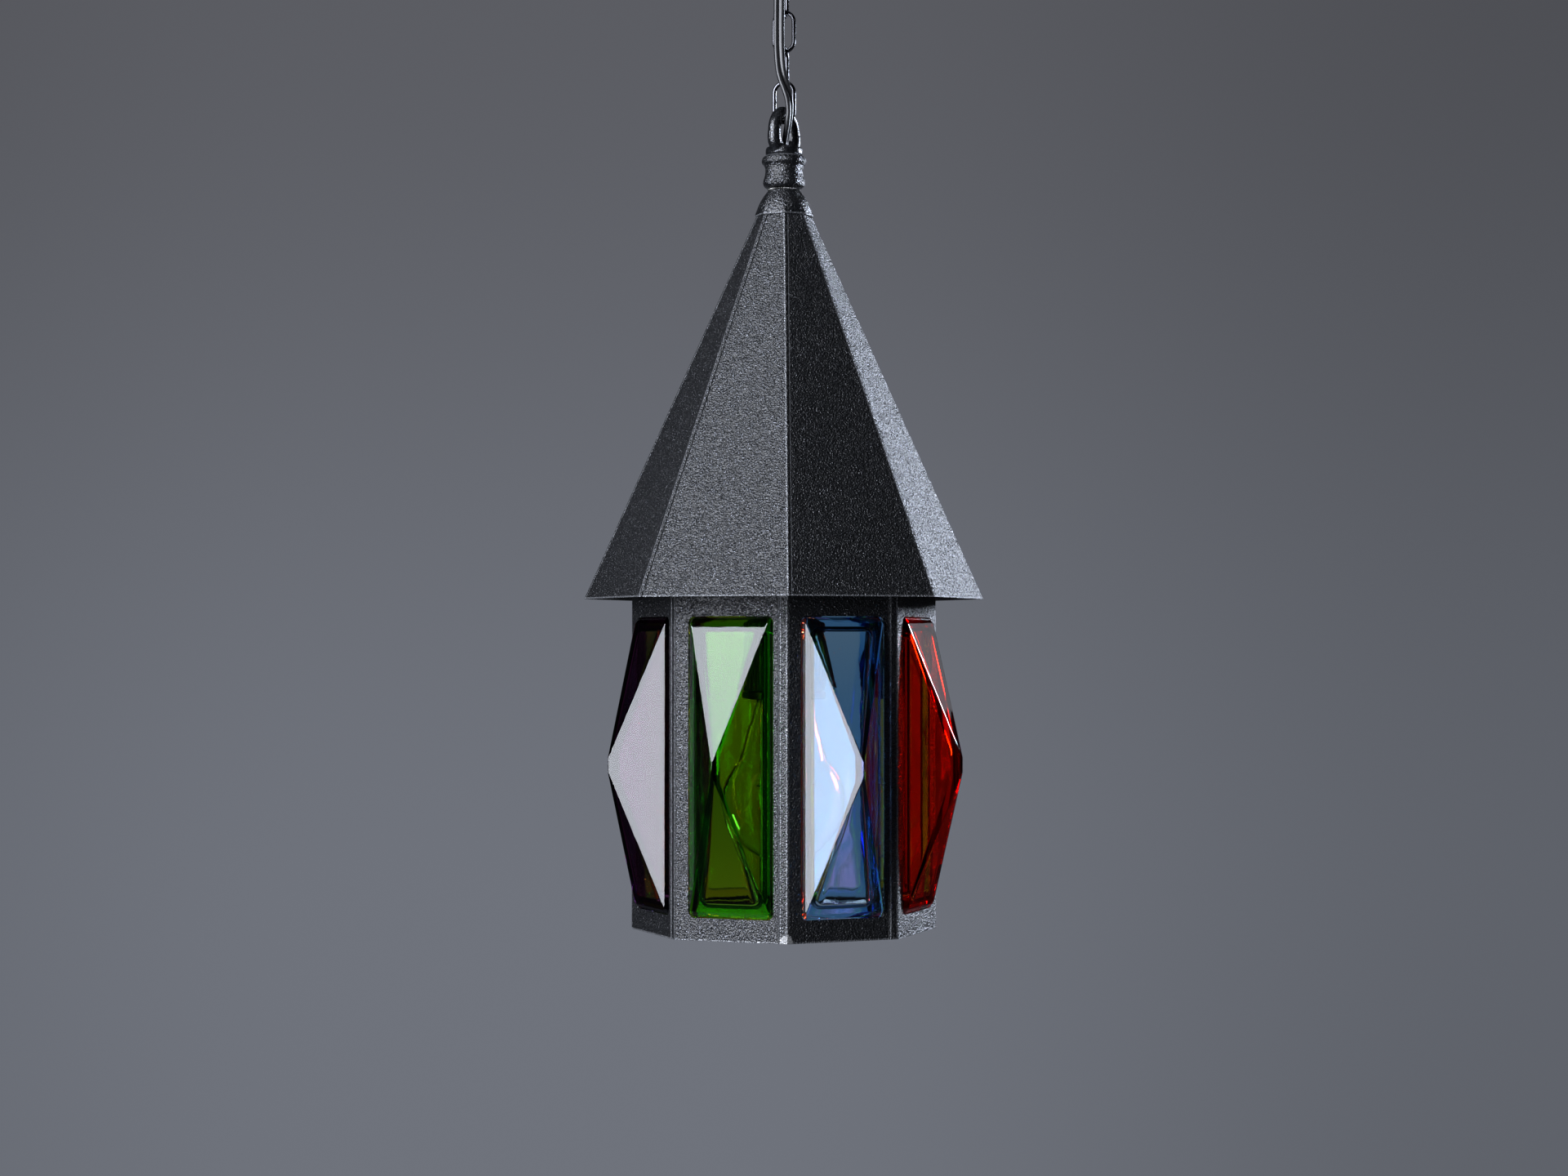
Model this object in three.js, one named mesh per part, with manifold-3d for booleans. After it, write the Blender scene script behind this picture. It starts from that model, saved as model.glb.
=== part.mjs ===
// An eight-sided iron lantern with coloured glass, hung on a short chain from a ceiling fitting.
// Millimetres, +Z up. The origin is the middle of the ceiling plate's top face.
import * as THREE from 'three';
import { mergeVertices } from 'three/addons/utils/BufferGeometryUtils.js';
import Module from 'manifold-3d';

const wasm = await Module();
wasm.setup();

// Driving sizes of the sheet iron
const SIDES = 8;
const sheet = 1.0;
const gap = 0.3;
const roofRadius = 100.2;
const roofTopRadius = 14.0;
const roofHeight = 192.2;
const roofFold = 1.4;
const bodyRadius = 76.2;
const bodyDepth = 164.7;
const bodyRise = 18;
const bodyFold = 4;

// Driving sizes of a window and its glass
const windowStile = 7.2;
const windowBelowEave = 9.2;
const windowFootRail = 10.9;
const windowCorner = 3.2;
const glassClearance = 0.5;
const glassFlangeThickness = 3;
const glassSideDraft = 1;
const glassEndDraft = 2.4;
const glassShoulder = 1.9;
const glassApex = 23.5;
const glassRidge = 3.6;
const glassWall = 5.4;
const glassApexWall = 6.1;
const glassInnerRidge = 13;
const cavityDraft = 0.4;
const clipHeight = 9;
const clipReach = 2.2;
const clipPost = 1.2;
const clipFromEnd = 19.8;

// Driving sizes of the stack on top of the roof
const capOverhang = 0.7;
const capHeight = 12.7;
const capRim = 1;
const capTopRadius = 7.94;
const beadRadius = 8.2;
const beadHeight = 0.9;
const collarHeight = 16.4;
const collarTopRadius = 11.25;
const collarWaistRadius = 9.2;
const collarFootRadius = 10.7;
const collarFootBead = 3.3;
const collarTopBead = 3.3;
const collarChamfer = 1.2;
const collarStep = 0.7;
const bossRadius = 9.3;
const bossHeight = 3.2;
const bossCrown = 1.5;
const bossRound = 1.4;
const ringWire = 6.7;
const ringHole = 13.4;
const ringHoleWidth = 12;
const ringTurn = 58;
const flexHoleRadius = 4.2;

// Driving sizes of the tube, the crossbar and the nuts
const tubeRadius = 5;
const tubeBore = 3.6;
const tubeIntoHolder = 6;
const nutFlats = 14;
const nutHeight = 5;
const roofWasherRadius = 12.6;
const washerHeight = 2;
const crossbarBelowRim = 2;
const crossbarWidth = 18;
const crossbarThickness = 2;
const crossbarLeg = 12;
const rivetRadius = 1.6;
const rivetHeadRadius = 3.2;
const rivetHeadHeight = 1.4;

// Driving sizes of the lampholder and the bulb
const holderRadius = 20;
const holderWall = 1.6;
const holderCapHeight = 22;
const holderNeckRadius = 7.6;
const holderNeckHeight = 7;
const holderShoulderHeight = 8;
const holderSkirtHeight = 36;
const holderBead = 4;
const holderGroove = 0.8;
const coreClearance = 0.8;
const coreBase = 7;
const coreRecess = 3;
const contactRadius = 3.6;
const contactHeight = 2.7;
const shellClearance = 0.4;
const shellRecess = 2;
const shellHoleRadius = 6.6;
const screwShellWall = 0.5;
const bulbCapRadius = 13.2;
const bulbCapHeight = 23;
const bulbCapWall = 0.6;
const bulbCapShoulder = 4;
const bulbCapTopRadius = 7;
const bulbTipRadius = 4.6;
const bulbTipHeight = 1.6;
const bulbTipSeat = 1.5;
const bulbRadius = 30;
const bulbLength = 107;
const bulbWall = 1;
const bulbNeckRadius = 12.1;
const bulbShoulder = THREE.MathUtils.degToRad(135);
const bulbSteps = 10;
const bulbFlare = 2.2;
const bulbFlareLength = 6;
const bulbSeat = 6;
const stemRadius = 3;
const stemLength = 42;
const stemFlare = 9;
const stemFlareRim = 1.5;

// Driving sizes of the chain and the ceiling fitting
const linkWire = 2.1;
const linkLength = 22.3;
const linkWidth = 12.6;
const linkTurn = -18;
const LINKS = 4;
const hookWire = 4;
const hookRadius = 7;
const hookNeck = 4;
const canopyRadius = 35;
const canopyDepth = 24;
const canopyFloorRadius = 16;
const canopyRim = 2;
const canopyWall = 1.2;
const canopyCollarWall = 1.7;
const canopyCollarHeight = 5;
const plateClearance = 1.8;
const plateThickness = 2.5;
const plateBoss = 6;
const plateBossHeight = 9;
const plateScrewRadius = 2.2;
const plateScrewPlace = 20;
const terminalWidth = 14;
const terminalDepth = 9;
const terminalHeight = 8;
const bushWall = 0.8;
const bushFlange = 0.5;
const bushInside = 2;

// Driving sizes of the twin flex
const flexCore = 2.7;
const flexPitch = 2.8;

// Sizes that follow, and heights up from the plane of the eave
const quarter = 90;
const eighth = Math.PI / SIDES;
const sideAngle = 2 * eighth;
const panelFace = bodyRadius * Math.cos(eighth);
const panelBack = panelFace - sheet;
const windowWidth = 2 * (bodyRadius * Math.sin(eighth) - windowStile);
const glassFlange = windowStile + glassClearance - bodyFold - sheet - 2 * gap;
const windowHeight = bodyDepth - windowBelowEave - windowFootRail;
const windowDrop = windowBelowEave + windowHeight / 2;
const tubeHole = tubeRadius + gap;
const capRadius = roofTopRadius + capOverhang;
const capFoot = roofHeight + gap;
const beadFoot = capFoot + capHeight + gap;
const collarFoot = beadFoot + beadHeight + gap;
const bossFoot = collarFoot + collarHeight + gap;
const ringRadius = (ringHole + ringWire) / 2;
const ringCentre = bossFoot + bossHeight + bossCrown + ringHole / 2;
const ringHoleTop = ringCentre + ringHole / 2;
const firstLink = ringHoleTop - gap - linkWire + linkLength / 2;
const linkPitch = linkLength - 2 * linkWire - gap;
const lastLink = firstLink + (LINKS - 1) * linkPitch;
const hookCentre = lastLink + linkLength / 2 - linkWire - gap - hookWire / 2 + hookRadius;
const canopyCollarFoot = hookCentre + hookRadius + hookNeck + 3 * gap;
const canopyFloor = canopyCollarFoot + canopyCollarHeight + gap;
const eaveDrop = canopyFloor + canopyDepth;
const crossbarTop = bodyRise - crossbarBelowRim;
const crossbarDrop = crossbarTop - crossbarThickness;
const lowerNutFoot = crossbarDrop - gap - nutHeight;
const holderTop = lowerNutFoot - gap;
const tubeFoot = holderTop - tubeIntoHolder;
const tubeTop = bossFoot + bossHeight;
const skirtTop = holderTop - holderCapHeight - gap;
const skirtFoot = skirtTop - holderSkirtHeight;
const coreTop = skirtTop - gap;
const bulbTop = coreTop - coreBase - contactHeight - gap;
const bulbFoot = bulbTop - bulbLength;

// Colours of the finishes
const finish = (color, roughness, metalness, opacity = 1) => new THREE.MeshStandardMaterial({
  color, roughness, metalness, opacity, transparent: opacity < 1,
});
const lacquer = finish(0x25272b, 0.45, 0.2);
const chainSteel = finish(0x3a3b3e, 0.3, 0.9);
const zinc = finish(0x9a9a96, 0.35, 0.9);
const brass = finish(0xb08d4a, 0.3, 0.95);
const blackPlastic = finish(0x141416, 0.35, 0);
const porcelain = finish(0xe8e4da, 0.4, 0);
const clearGlass = finish(0xf2f2ee, 0.05, 0, 0.4);
const glassColours = [
  ['aubergine', finish(0x2a1226, 0.05, 0, 0.9)],
  ['green', finish(0x1f7a18, 0.05, 0, 0.75)],
  ['blue', finish(0x3f6fae, 0.05, 0, 0.7)],
  ['red', finish(0xb3260e, 0.05, 0, 0.75)],
  ['red_rear', finish(0xb3260e, 0.05, 0, 0.75)],
  ['blue_rear', finish(0x3f6fae, 0.05, 0, 0.7)],
  ['amber', finish(0xd08a12, 0.05, 0, 0.75)],
  ['green_rear', finish(0x1f7a18, 0.05, 0, 0.75)],
];

// Merges shared vertices, drops flat triangles and turns every face outwards.
function closed(geometry) {
  const bare = geometry.clone();
  bare.deleteAttribute('normal');
  bare.deleteAttribute('uv');
  const merged = mergeVertices(bare, 1e-3);
  const place = merged.attributes.position;
  const corner = [new THREE.Vector3(), new THREE.Vector3(), new THREE.Vector3()];
  const kept = [];
  let volume = 0;
  for (let i = 0; i < merged.index.count; i += 3) {
    const triangle = [0, 1, 2].map((k) => merged.index.getX(i + k));
    if (new Set(triangle).size < 3) continue;
    triangle.forEach((v, k) => corner[k].fromBufferAttribute(place, v));
    volume += corner[0].dot(corner[1].clone().cross(corner[2]));
    kept.push(triangle);
  }
  if (volume < 0) kept.forEach((triangle) => triangle.reverse());
  merged.setIndex(kept.flat());
  return merged;
}

function toSolid(geometry) {
  const source = closed(geometry);
  return new wasm.Manifold(new wasm.Mesh({
    numProp: 3,
    vertProperties: Float32Array.from(source.attributes.position.array),
    triVerts: Uint32Array.from(source.index.array),
  }));
}

function fromSolid(solid) {
  const mesh = solid.getMesh();
  const geometry = new THREE.BufferGeometry();
  geometry.setAttribute('position', new THREE.BufferAttribute(Float32Array.from(mesh.vertProperties), 3));
  geometry.setIndex(Array.from(mesh.triVerts));
  return geometry;
}

// The body with every tool in the list cut out of it.
function cut(body, tools) {
  return fromSolid(tools.reduce((left, tool) => left.subtract(toSolid(tool)), toSolid(body)));
}

function join(bodies) {
  return fromSolid(bodies.slice(1).reduce((sum, body) => sum.add(toSolid(body)), toSolid(bodies[0])));
}

// A turned piece: the outline is a list of [radius, height].
function turned(outline, segments = 28) {
  const points = outline.map(([r, z]) => new THREE.Vector2(r, z));
  const first = points[0];
  const last = points[points.length - 1];
  if (first.distanceTo(last) > 1e-6 && (first.x > 0 || last.x > 0)) points.push(first.clone());
  return closed(new THREE.LatheGeometry(points, segments).rotateX(Math.PI / 2));
}

function cylinder(radius, low, high, segments = 28) {
  return turned([[0, low], [radius, low], [radius, high], [0, high]], segments);
}

function box(width, depth, height, x, y, z) {
  return closed(new THREE.BoxGeometry(width, depth, height).translate(x, y, z));
}

// An upright prism over a plan outline, a list of [x, y].
function prism(plan, low, high) {
  const shape = new THREE.Shape(plan.map(([x, y]) => new THREE.Vector2(x, y)));
  return closed(new THREE.ExtrudeGeometry(shape, { depth: high - low, bevelEnabled: false })
    .translate(0, 0, low));
}

// A closed skin over a row of rings with equal counts of points. The ends get a cap, whose
// triangles are a fan from the first point unless others are given.
function loft(rings, capped, triangles) {
  const count = rings[0].length;
  const positions = rings.flat().flatMap((p) => [p.x, p.y, p.z]);
  const index = [];
  for (let r = 0; r + 1 < rings.length; r += 1) {
    for (let i = 0; i < count; i += 1) {
      const next = (i + 1) % count;
      const a = r * count + i;
      const b = r * count + next;
      index.push(a, b, b + count, a, b + count, a + count);
    }
  }
  if (capped) {
    const last = (rings.length - 1) * count;
    const fan = Array.from({ length: count - 2 }, (_, i) => [0, i + 1, i + 2]);
    for (const [a, b, c] of triangles ?? fan) {
      index.push(a, c, b);
      index.push(last + a, last + b, last + c);
    }
  }
  const geometry = new THREE.BufferGeometry();
  geometry.setAttribute('position', new THREE.Float32BufferAttribute(positions, 3));
  geometry.setIndex(index);
  return closed(geometry);
}

const group = new THREE.Group();
const lantern = new THREE.Group();
lantern.position.z = -eaveDrop;
group.add(lantern);

function piece(name, geometry, material, turn = 0) {
  const mesh = new THREE.Mesh(geometry, material);
  mesh.name = name;
  mesh.rotation.z = THREE.MathUtils.degToRad(turn);
  lantern.add(mesh);
  return mesh;
}

// Side k faces this many degrees from the front; side 0 is at the front left.
const facing = (k) => THREE.MathUtils.radToDeg((k - 1.5) * sideAngle);

// The plan of one sheet. Its right end folds round the corner on to its neighbour, and its left end
// steps in by a sheet, so that the other neighbour's fold lies flush on it.
// Each point is [across, outwards].
function lappedPlan(radius, fold) {
  const half = radius * Math.sin(eighth);
  const face = radius * Math.cos(eighth);
  const s = Math.sin(sideAngle);
  const c = Math.cos(sideAngle);
  const stepIn = sheet + gap;
  const start = -half + stepIn / s - stepIn;
  const step = -half + fold + gap;
  const innerCorner = half - sheet * Math.tan(eighth);
  const end = [half + fold * c, face - fold * s];
  return [
    [start, face - stepIn - sheet],
    [start, face - stepIn],
    [step, face - stepIn],
    [step, face],
    [half, face],
    end,
    [end[0] - sheet * s, end[1] - sheet * c],
    [innerCorner, face - sheet],
    [step + sheet, face - sheet],
    [step + sheet, face - stepIn - sheet],
  ];
}

// Roof

const roofPlan = (radius, z) => lappedPlan(radius, roofFold)
  .map(([x, out]) => new THREE.Vector3(x, -out, z));

function roofPanel() {
  const foot = roofPlan(roofRadius, 0);
  const flat = foot.map((p) => new THREE.Vector2(p.x, p.y));
  const triangles = THREE.ShapeUtils.triangulateShape(flat, []);
  return loft([foot, roofPlan(roofTopRadius, roofHeight)], true, triangles);
}

for (let k = 0; k < SIDES; k += 1) {
  piece(`roof_panel_${k + 1}`, roofPanel(), lacquer, facing(k));
}

// Side panels, each with its window and four clips for the glass

const glassHalfWidth = windowWidth / 2 - glassClearance;
const glassHalfHeight = windowHeight / 2 - glassClearance;
const flangeHalfWidth = glassHalfWidth + glassFlange;
const flangeHalfHeight = glassHalfHeight + glassFlange;
const clipPlace = glassHalfHeight - clipFromEnd;

// A rectangle with round corners, standing upright at a distance from the lantern's axis.
function frameRing(halfWidth, halfHeight, corner, out) {
  const steps = 3;
  const points = [];
  const corners = [[1, 1], [-1, 1], [-1, -1], [1, -1]];
  for (const [turn, [sx, sz]] of corners.entries()) {
    for (let i = 0; i <= steps; i += 1) {
      const angle = THREE.MathUtils.degToRad(quarter * (turn + i / steps));
      const x = sx * (halfWidth - corner) + corner * Math.cos(angle);
      const z = sz * (halfHeight - corner) + corner * Math.sin(angle);
      points.push(new THREE.Vector3(x, -out, z - windowDrop));
    }
  }
  return points;
}

// The same points drawn in to an upright ridge.
function ridgeRing(like, halfRidge, out) {
  return like.map((p) => new THREE.Vector3(0, -out, Math.sign(p.z + windowDrop) * halfRidge - windowDrop));
}

// One clip: a post beside the glass and a lip behind its flange.
function clip(side, z) {
  const inner = flangeHalfWidth + gap;
  const lipFront = panelBack - gap - glassFlangeThickness - gap;
  const plan = [
    [inner, panelBack + sheet / 4],
    [inner + clipPost, panelBack + sheet / 4],
    [inner + clipPost, lipFront - sheet],
    [flangeHalfWidth - clipReach, lipFront - sheet],
    [flangeHalfWidth - clipReach, lipFront],
    [inner, lipFront],
  ].map(([x, out]) => [side * x, -out]);
  return prism(plan, z - clipHeight / 2, z + clipHeight / 2);
}

const rivetPlace = crossbarTop - crossbarThickness - crossbarLeg / 2;

function sidePanel(riveted) {
  const plan = lappedPlan(bodyRadius, bodyFold).map(([x, out]) => [-x, -out]);
  const plate = prism(plan, -bodyDepth, bodyRise);
  const opening = loft([
    frameRing(windowWidth / 2, windowHeight / 2, windowCorner, panelBack - sheet),
    frameRing(windowWidth / 2, windowHeight / 2, windowCorner, panelFace + sheet),
  ], true);
  const clips = [-1, 1].flatMap((side) => [-1, 1].map((end) => clip(side, end * clipPlace - windowDrop)));
  const holes = riveted ? [opening, rivetHole()] : [opening];
  return cut(join([plate, ...clips]), holes);
}

function rivetHole() {
  return cylinder(rivetRadius + gap, panelBack - 2 * sheet - crossbarThickness, panelFace + 2 * sheet, 16)
    .rotateX(Math.PI / 2)
    .translate(0, 0, rivetPlace);
}

for (let k = 0; k < SIDES; k += 1) {
  piece(`side_panel_${k + 1}`, sidePanel(k % (SIDES / 2) === 0), lacquer, facing(k));
}

// Glass: a hollow pressed block with a flange, a low rim and four facets up to a short ridge

function glassBlock() {
  const flangeFront = panelBack - gap;
  const back = flangeFront - glassFlangeThickness;
  const cavityWidth = glassHalfWidth - glassWall;
  const cavityHeight = glassHalfHeight - glassWall;
  const cavityShoulder = frameRing(
    cavityWidth - cavityDraft, cavityHeight - cavityDraft, windowCorner, panelFace,
  );
  const outerShoulder = frameRing(
    glassHalfWidth - glassSideDraft, glassHalfHeight - glassEndDraft, windowCorner - glassClearance,
    panelFace + glassShoulder,
  );
  return loft([
    ridgeRing(cavityShoulder, glassInnerRidge / 2, panelFace + glassApex - glassApexWall),
    cavityShoulder,
    frameRing(cavityWidth, cavityHeight, windowCorner, back),
    frameRing(flangeHalfWidth, flangeHalfHeight, windowCorner, back),
    frameRing(flangeHalfWidth, flangeHalfHeight, windowCorner, flangeFront),
    frameRing(glassHalfWidth, glassHalfHeight, windowCorner - glassClearance, flangeFront),
    frameRing(glassHalfWidth, glassHalfHeight, windowCorner - glassClearance, panelFace),
    outerShoulder,
    ridgeRing(outerShoulder, glassRidge / 2, panelFace + glassApex),
  ], false);
}

glassColours.forEach(([colour, material], k) => {
  piece(`glass_${colour}`, glassBlock(), material, facing(k));
});

// Stack on top of the roof

// The cap's dome bows out of the straight line from its rim to its flat top.
function capOutline(inset) {
  const steps = 3;
  const outline = [];
  for (let i = 0; i <= steps; i += 1) {
    const share = i / steps;
    const bow = capRim * Math.sin(Math.PI * share);
    outline.push([
      THREE.MathUtils.lerp(capRadius - inset, capTopRadius, share) + bow,
      THREE.MathUtils.lerp(capFoot + capRim, capFoot + capHeight - inset / 2, share),
    ]);
  }
  return outline;
}

const capBore = tubeHole / Math.cos(eighth);
piece('roof_cap', turned([
  [capBore, capFoot + capHeight],
  [capBore, capFoot + capHeight - sheet],
  ...capOutline(2 * sheet).reverse(),
  [capRadius - 2 * sheet, capFoot],
  [capRadius, capFoot],
  ...capOutline(0),
], SIDES), lacquer);

piece('bead_washer', turned([
  [tubeHole, beadFoot],
  [beadRadius - beadHeight / 3, beadFoot],
  [beadRadius, beadFoot + beadHeight / 2],
  [beadRadius - beadHeight / 3, beadFoot + beadHeight],
  [tubeHole, beadFoot + beadHeight],
], 28), zinc);

// A spool: a bead at its foot, a hollow waist and a wider bead at its top
function collarOutline() {
  const top = collarFoot + collarHeight;
  const waistFoot = collarFoot + collarFootBead + collarStep;
  const waistTop = top - collarTopBead - collarStep;
  const outline = [
    [tubeHole, collarFoot],
    [collarFootRadius - collarChamfer, collarFoot],
    [collarFootRadius, collarFoot + collarChamfer],
    [collarFootRadius, collarFoot + collarFootBead],
  ];
  const steps = 6;
  for (let i = 0; i <= steps; i += 1) {
    const share = i / steps;
    const straight = THREE.MathUtils.lerp(collarFootRadius, collarTopRadius, share) - collarStep;
    outline.push([
      THREE.MathUtils.lerp(straight, collarWaistRadius, Math.sin(Math.PI * share)),
      THREE.MathUtils.lerp(waistFoot, waistTop, share),
    ]);
  }
  outline.push(
    [collarTopRadius, top - collarTopBead],
    [collarTopRadius, top - collarChamfer],
    [collarTopRadius - collarChamfer, top],
    [tubeHole, top],
  );
  return outline;
}

piece('collar', turned(collarOutline()), lacquer);

// Hanging loop: a cast ring on a boss that screws on the tube, with a hole for the flex
const bossTop = bossFoot + bossHeight;
const boss = turned([
  [0, bossFoot],
  [bossRadius, bossFoot],
  [bossRadius, bossTop - bossRound / 2],
  [bossRadius - bossRound, bossTop + bossCrown / 3],
  [0, bossTop + bossCrown],
], 32);
const ring = new THREE.TorusGeometry(ringRadius, ringWire / 2, 10, 24)
  .scale((ringHoleWidth + ringWire) / (ringHole + ringWire), 1, 1)
  .rotateX(Math.PI / 2)
  .translate(0, 0, ringCentre);
const belowBoss = cylinder(2 * bossRadius, bossFoot - ringWire, bossFoot);
const loopHole = turned([
  [0, bossFoot - 1],
  [tubeHole, bossFoot - 1],
  [tubeHole, bossTop + gap],
  [flexHoleRadius, bossTop + gap],
  [flexHoleRadius, ringCentre],
  [0, ringCentre],
], 24);
piece('hanging_loop', cut(join([boss, ring]), [belowBoss, loopHole]), lacquer, ringTurn);

// Threaded tube from the lampholder to the loop, with the nuts and washer that clamp the roof
piece('threaded_tube', turned([
  [tubeBore, tubeFoot], [tubeRadius, tubeFoot], [tubeRadius, tubeTop], [tubeBore, tubeTop],
], 24), zinc);

function hexNut(foot) {
  const top = foot + nutHeight;
  const hexagon = cylinder(nutFlats / Math.sqrt(3), foot, top, 6);
  return cut(hexagon, [cylinder(tubeHole, foot - 1, top + 1, 24)]);
}

const slope = (roofRadius - roofTopRadius) / roofHeight;
const washerRoof = (roofWasherRadius + 2 * (sheet + gap)) / Math.cos(eighth);
const washerTop = (roofRadius - washerRoof) / slope;
piece('roof_washer', turned([
  [tubeHole, washerTop - washerHeight],
  [roofWasherRadius, washerTop - washerHeight],
  [roofWasherRadius, washerTop],
  [tubeHole, washerTop],
], 28), zinc);
piece('roof_nut', hexNut(washerTop - washerHeight - gap - nutHeight), zinc);

// Crossbar that carries the glazed body, riveted to two opposite side panels
function crossbar() {
  const reach = panelBack - gap;
  const strip = box(crossbarWidth, 2 * reach, crossbarThickness, 0, 0, crossbarDrop + crossbarThickness / 2);
  const legs = [-1, 1].map((side) => box(
    crossbarWidth, crossbarThickness, crossbarLeg,
    0, side * (reach - crossbarThickness / 2), crossbarTop - crossbarThickness / 2 - crossbarLeg / 2,
  ));
  const hole = cylinder(tubeHole, crossbarDrop - crossbarLeg, crossbarTop + 1, 24);
  const rivetHoles = [rivetHole(), rivetHole().rotateZ(Math.PI)];
  return cut(join([strip, ...legs]), [hole, ...rivetHoles]);
}

piece('crossbar', crossbar(), lacquer, facing(0));

function rivet() {
  const inside = panelBack - gap - crossbarThickness - gap;
  const outside = panelFace + gap;
  return turned([
    [0, inside - rivetHeadHeight],
    [rivetHeadRadius * 0.6, inside - rivetHeadHeight],
    [rivetHeadRadius, inside],
    [rivetRadius, inside],
    [rivetRadius, outside],
    [rivetHeadRadius, outside],
    [rivetHeadRadius * 0.6, outside + rivetHeadHeight],
    [0, outside + rivetHeadHeight],
  ], 12).rotateX(Math.PI / 2).translate(0, 0, rivetPlace);
}

piece('crossbar_rivet_1', rivet(), lacquer, facing(0));
piece('crossbar_rivet_2', rivet(), lacquer, facing(SIDES / 2));
piece('crossbar_upper_nut', hexNut(crossbarTop + gap), zinc);
piece('crossbar_lower_nut', hexNut(lowerNutFoot), zinc);

// Lampholder
const skirtInner = holderRadius - holderWall;
const neckFoot = holderTop - holderNeckHeight;
const shoulderFoot = neckFoot - holderShoulderHeight;

// The cap's shoulder is a quarter of an ellipse from the neck down to the skirt.
function holderShoulder(inset) {
  const steps = 4;
  const outline = [];
  for (let i = 0; i <= steps; i += 1) {
    const angle = (Math.PI / 2) * (i / steps);
    outline.push([
      holderNeckRadius + (holderRadius - inset - holderNeckRadius) * Math.sin(angle),
      shoulderFoot + (holderShoulderHeight - inset) * Math.cos(angle),
    ]);
  }
  return outline;
}

piece('holder_cap', turned([
  [tubeHole, holderTop],
  [holderNeckRadius, holderTop],
  ...holderShoulder(0),
  [holderRadius, holderTop - holderCapHeight],
  [skirtInner, holderTop - holderCapHeight],
  ...holderShoulder(holderWall).reverse(),
  [tubeHole, neckFoot - holderWall],
], 28), blackPlastic);

piece('holder_skirt', turned([
  [skirtInner, skirtTop],
  [holderRadius, skirtTop],
  [holderRadius, skirtTop - holderBead],
  [holderRadius - holderGroove, skirtTop - holderBead - holderGroove],
  [holderRadius - holderGroove, skirtFoot + holderBead],
  [holderRadius, skirtFoot + holderBead - holderGroove],
  [holderRadius, skirtFoot],
  [skirtInner, skirtFoot],
], 28), blackPlastic);

const screwShellRadius = bulbCapRadius + shellClearance + screwShellWall;
const coreRadius = skirtInner - coreClearance;
const coreInner = screwShellRadius + gap;
const coreFoot = skirtFoot + coreRecess;
piece('holder_core', turned([
  [0, coreTop],
  [coreRadius, coreTop],
  [coreRadius, coreFoot],
  [coreInner, coreFoot],
  [coreInner, coreTop - coreBase],
  [0, coreTop - coreBase],
], 28), porcelain);

const screwShellTop = coreTop - coreBase - gap;
const screwShellFoot = coreFoot + shellRecess;
piece('holder_screw_shell', turned([
  [shellHoleRadius, screwShellTop],
  [screwShellRadius, screwShellTop],
  [screwShellRadius, screwShellFoot],
  [screwShellRadius - screwShellWall, screwShellFoot],
  [screwShellRadius - screwShellWall, screwShellTop - screwShellWall],
  [shellHoleRadius, screwShellTop - screwShellWall],
], 28), brass);

piece('holder_contact', cylinder(contactRadius, bulbTop + gap, screwShellTop, 16), brass);

// Bulb
const bulbCapTop = bulbTop - bulbTipHeight;
const bulbCapFoot = bulbCapTop - bulbCapHeight;
const bulbGlassTop = bulbCapFoot + bulbSeat;
const bulbCentre = bulbFoot + bulbRadius;
piece('bulb_tip', turned([
  [0, bulbTop],
  [bulbTipRadius - bulbTipHeight, bulbTop],
  [bulbTipRadius, bulbCapTop + gap],
  [bulbTipRadius, bulbCapTop - bulbTipSeat],
  [0, bulbCapTop - bulbTipSeat],
], 16), zinc);

piece('bulb_cap', turned([
  [bulbTipRadius + gap, bulbCapTop],
  [bulbCapTopRadius, bulbCapTop],
  [bulbCapRadius, bulbCapTop - bulbCapShoulder],
  [bulbCapRadius, bulbCapFoot],
  [bulbCapRadius - bulbCapWall, bulbCapFoot],
  [bulbCapRadius - bulbCapWall, bulbCapTop - bulbCapShoulder - bulbCapWall],
  [bulbTipRadius + gap, bulbCapTop - 2 * bulbCapWall],
], 28), brass);

function bulbOutline(inset) {
  const radius = bulbRadius - inset;
  const points = [];
  for (let i = 0; i <= bulbSteps; i += 1) {
    const angle = (bulbShoulder * i) / bulbSteps;
    points.push([radius * Math.sin(angle), bulbCentre - radius * Math.cos(angle)]);
  }
  return points;
}

const outerBulb = [...bulbOutline(0), [bulbNeckRadius + bulbFlare, bulbCapFoot - bulbFlareLength],
  [bulbNeckRadius, bulbCapFoot], [bulbNeckRadius, bulbGlassTop]];
const innerBulb = [[bulbNeckRadius - bulbWall, bulbGlassTop], [bulbNeckRadius - bulbWall, bulbCapFoot],
  [bulbNeckRadius + bulbFlare - bulbWall, bulbCapFoot - bulbFlareLength], ...bulbOutline(bulbWall).reverse()];
piece('bulb_glass', turned([...outerBulb, ...innerBulb], 24), clearGlass);

const stemTop = bulbGlassTop - bulbWall;
const stemRim = bulbNeckRadius - bulbWall - gap;
piece('bulb_stem', turned([
  [0, stemTop],
  [stemRim, stemTop],
  [stemRim, stemTop - stemFlareRim],
  [stemRadius, stemTop - stemFlare],
  [stemRadius, stemTop - stemLength],
  [0, stemTop - stemLength - stemRadius / 2],
], 16), clearGlass);

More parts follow.
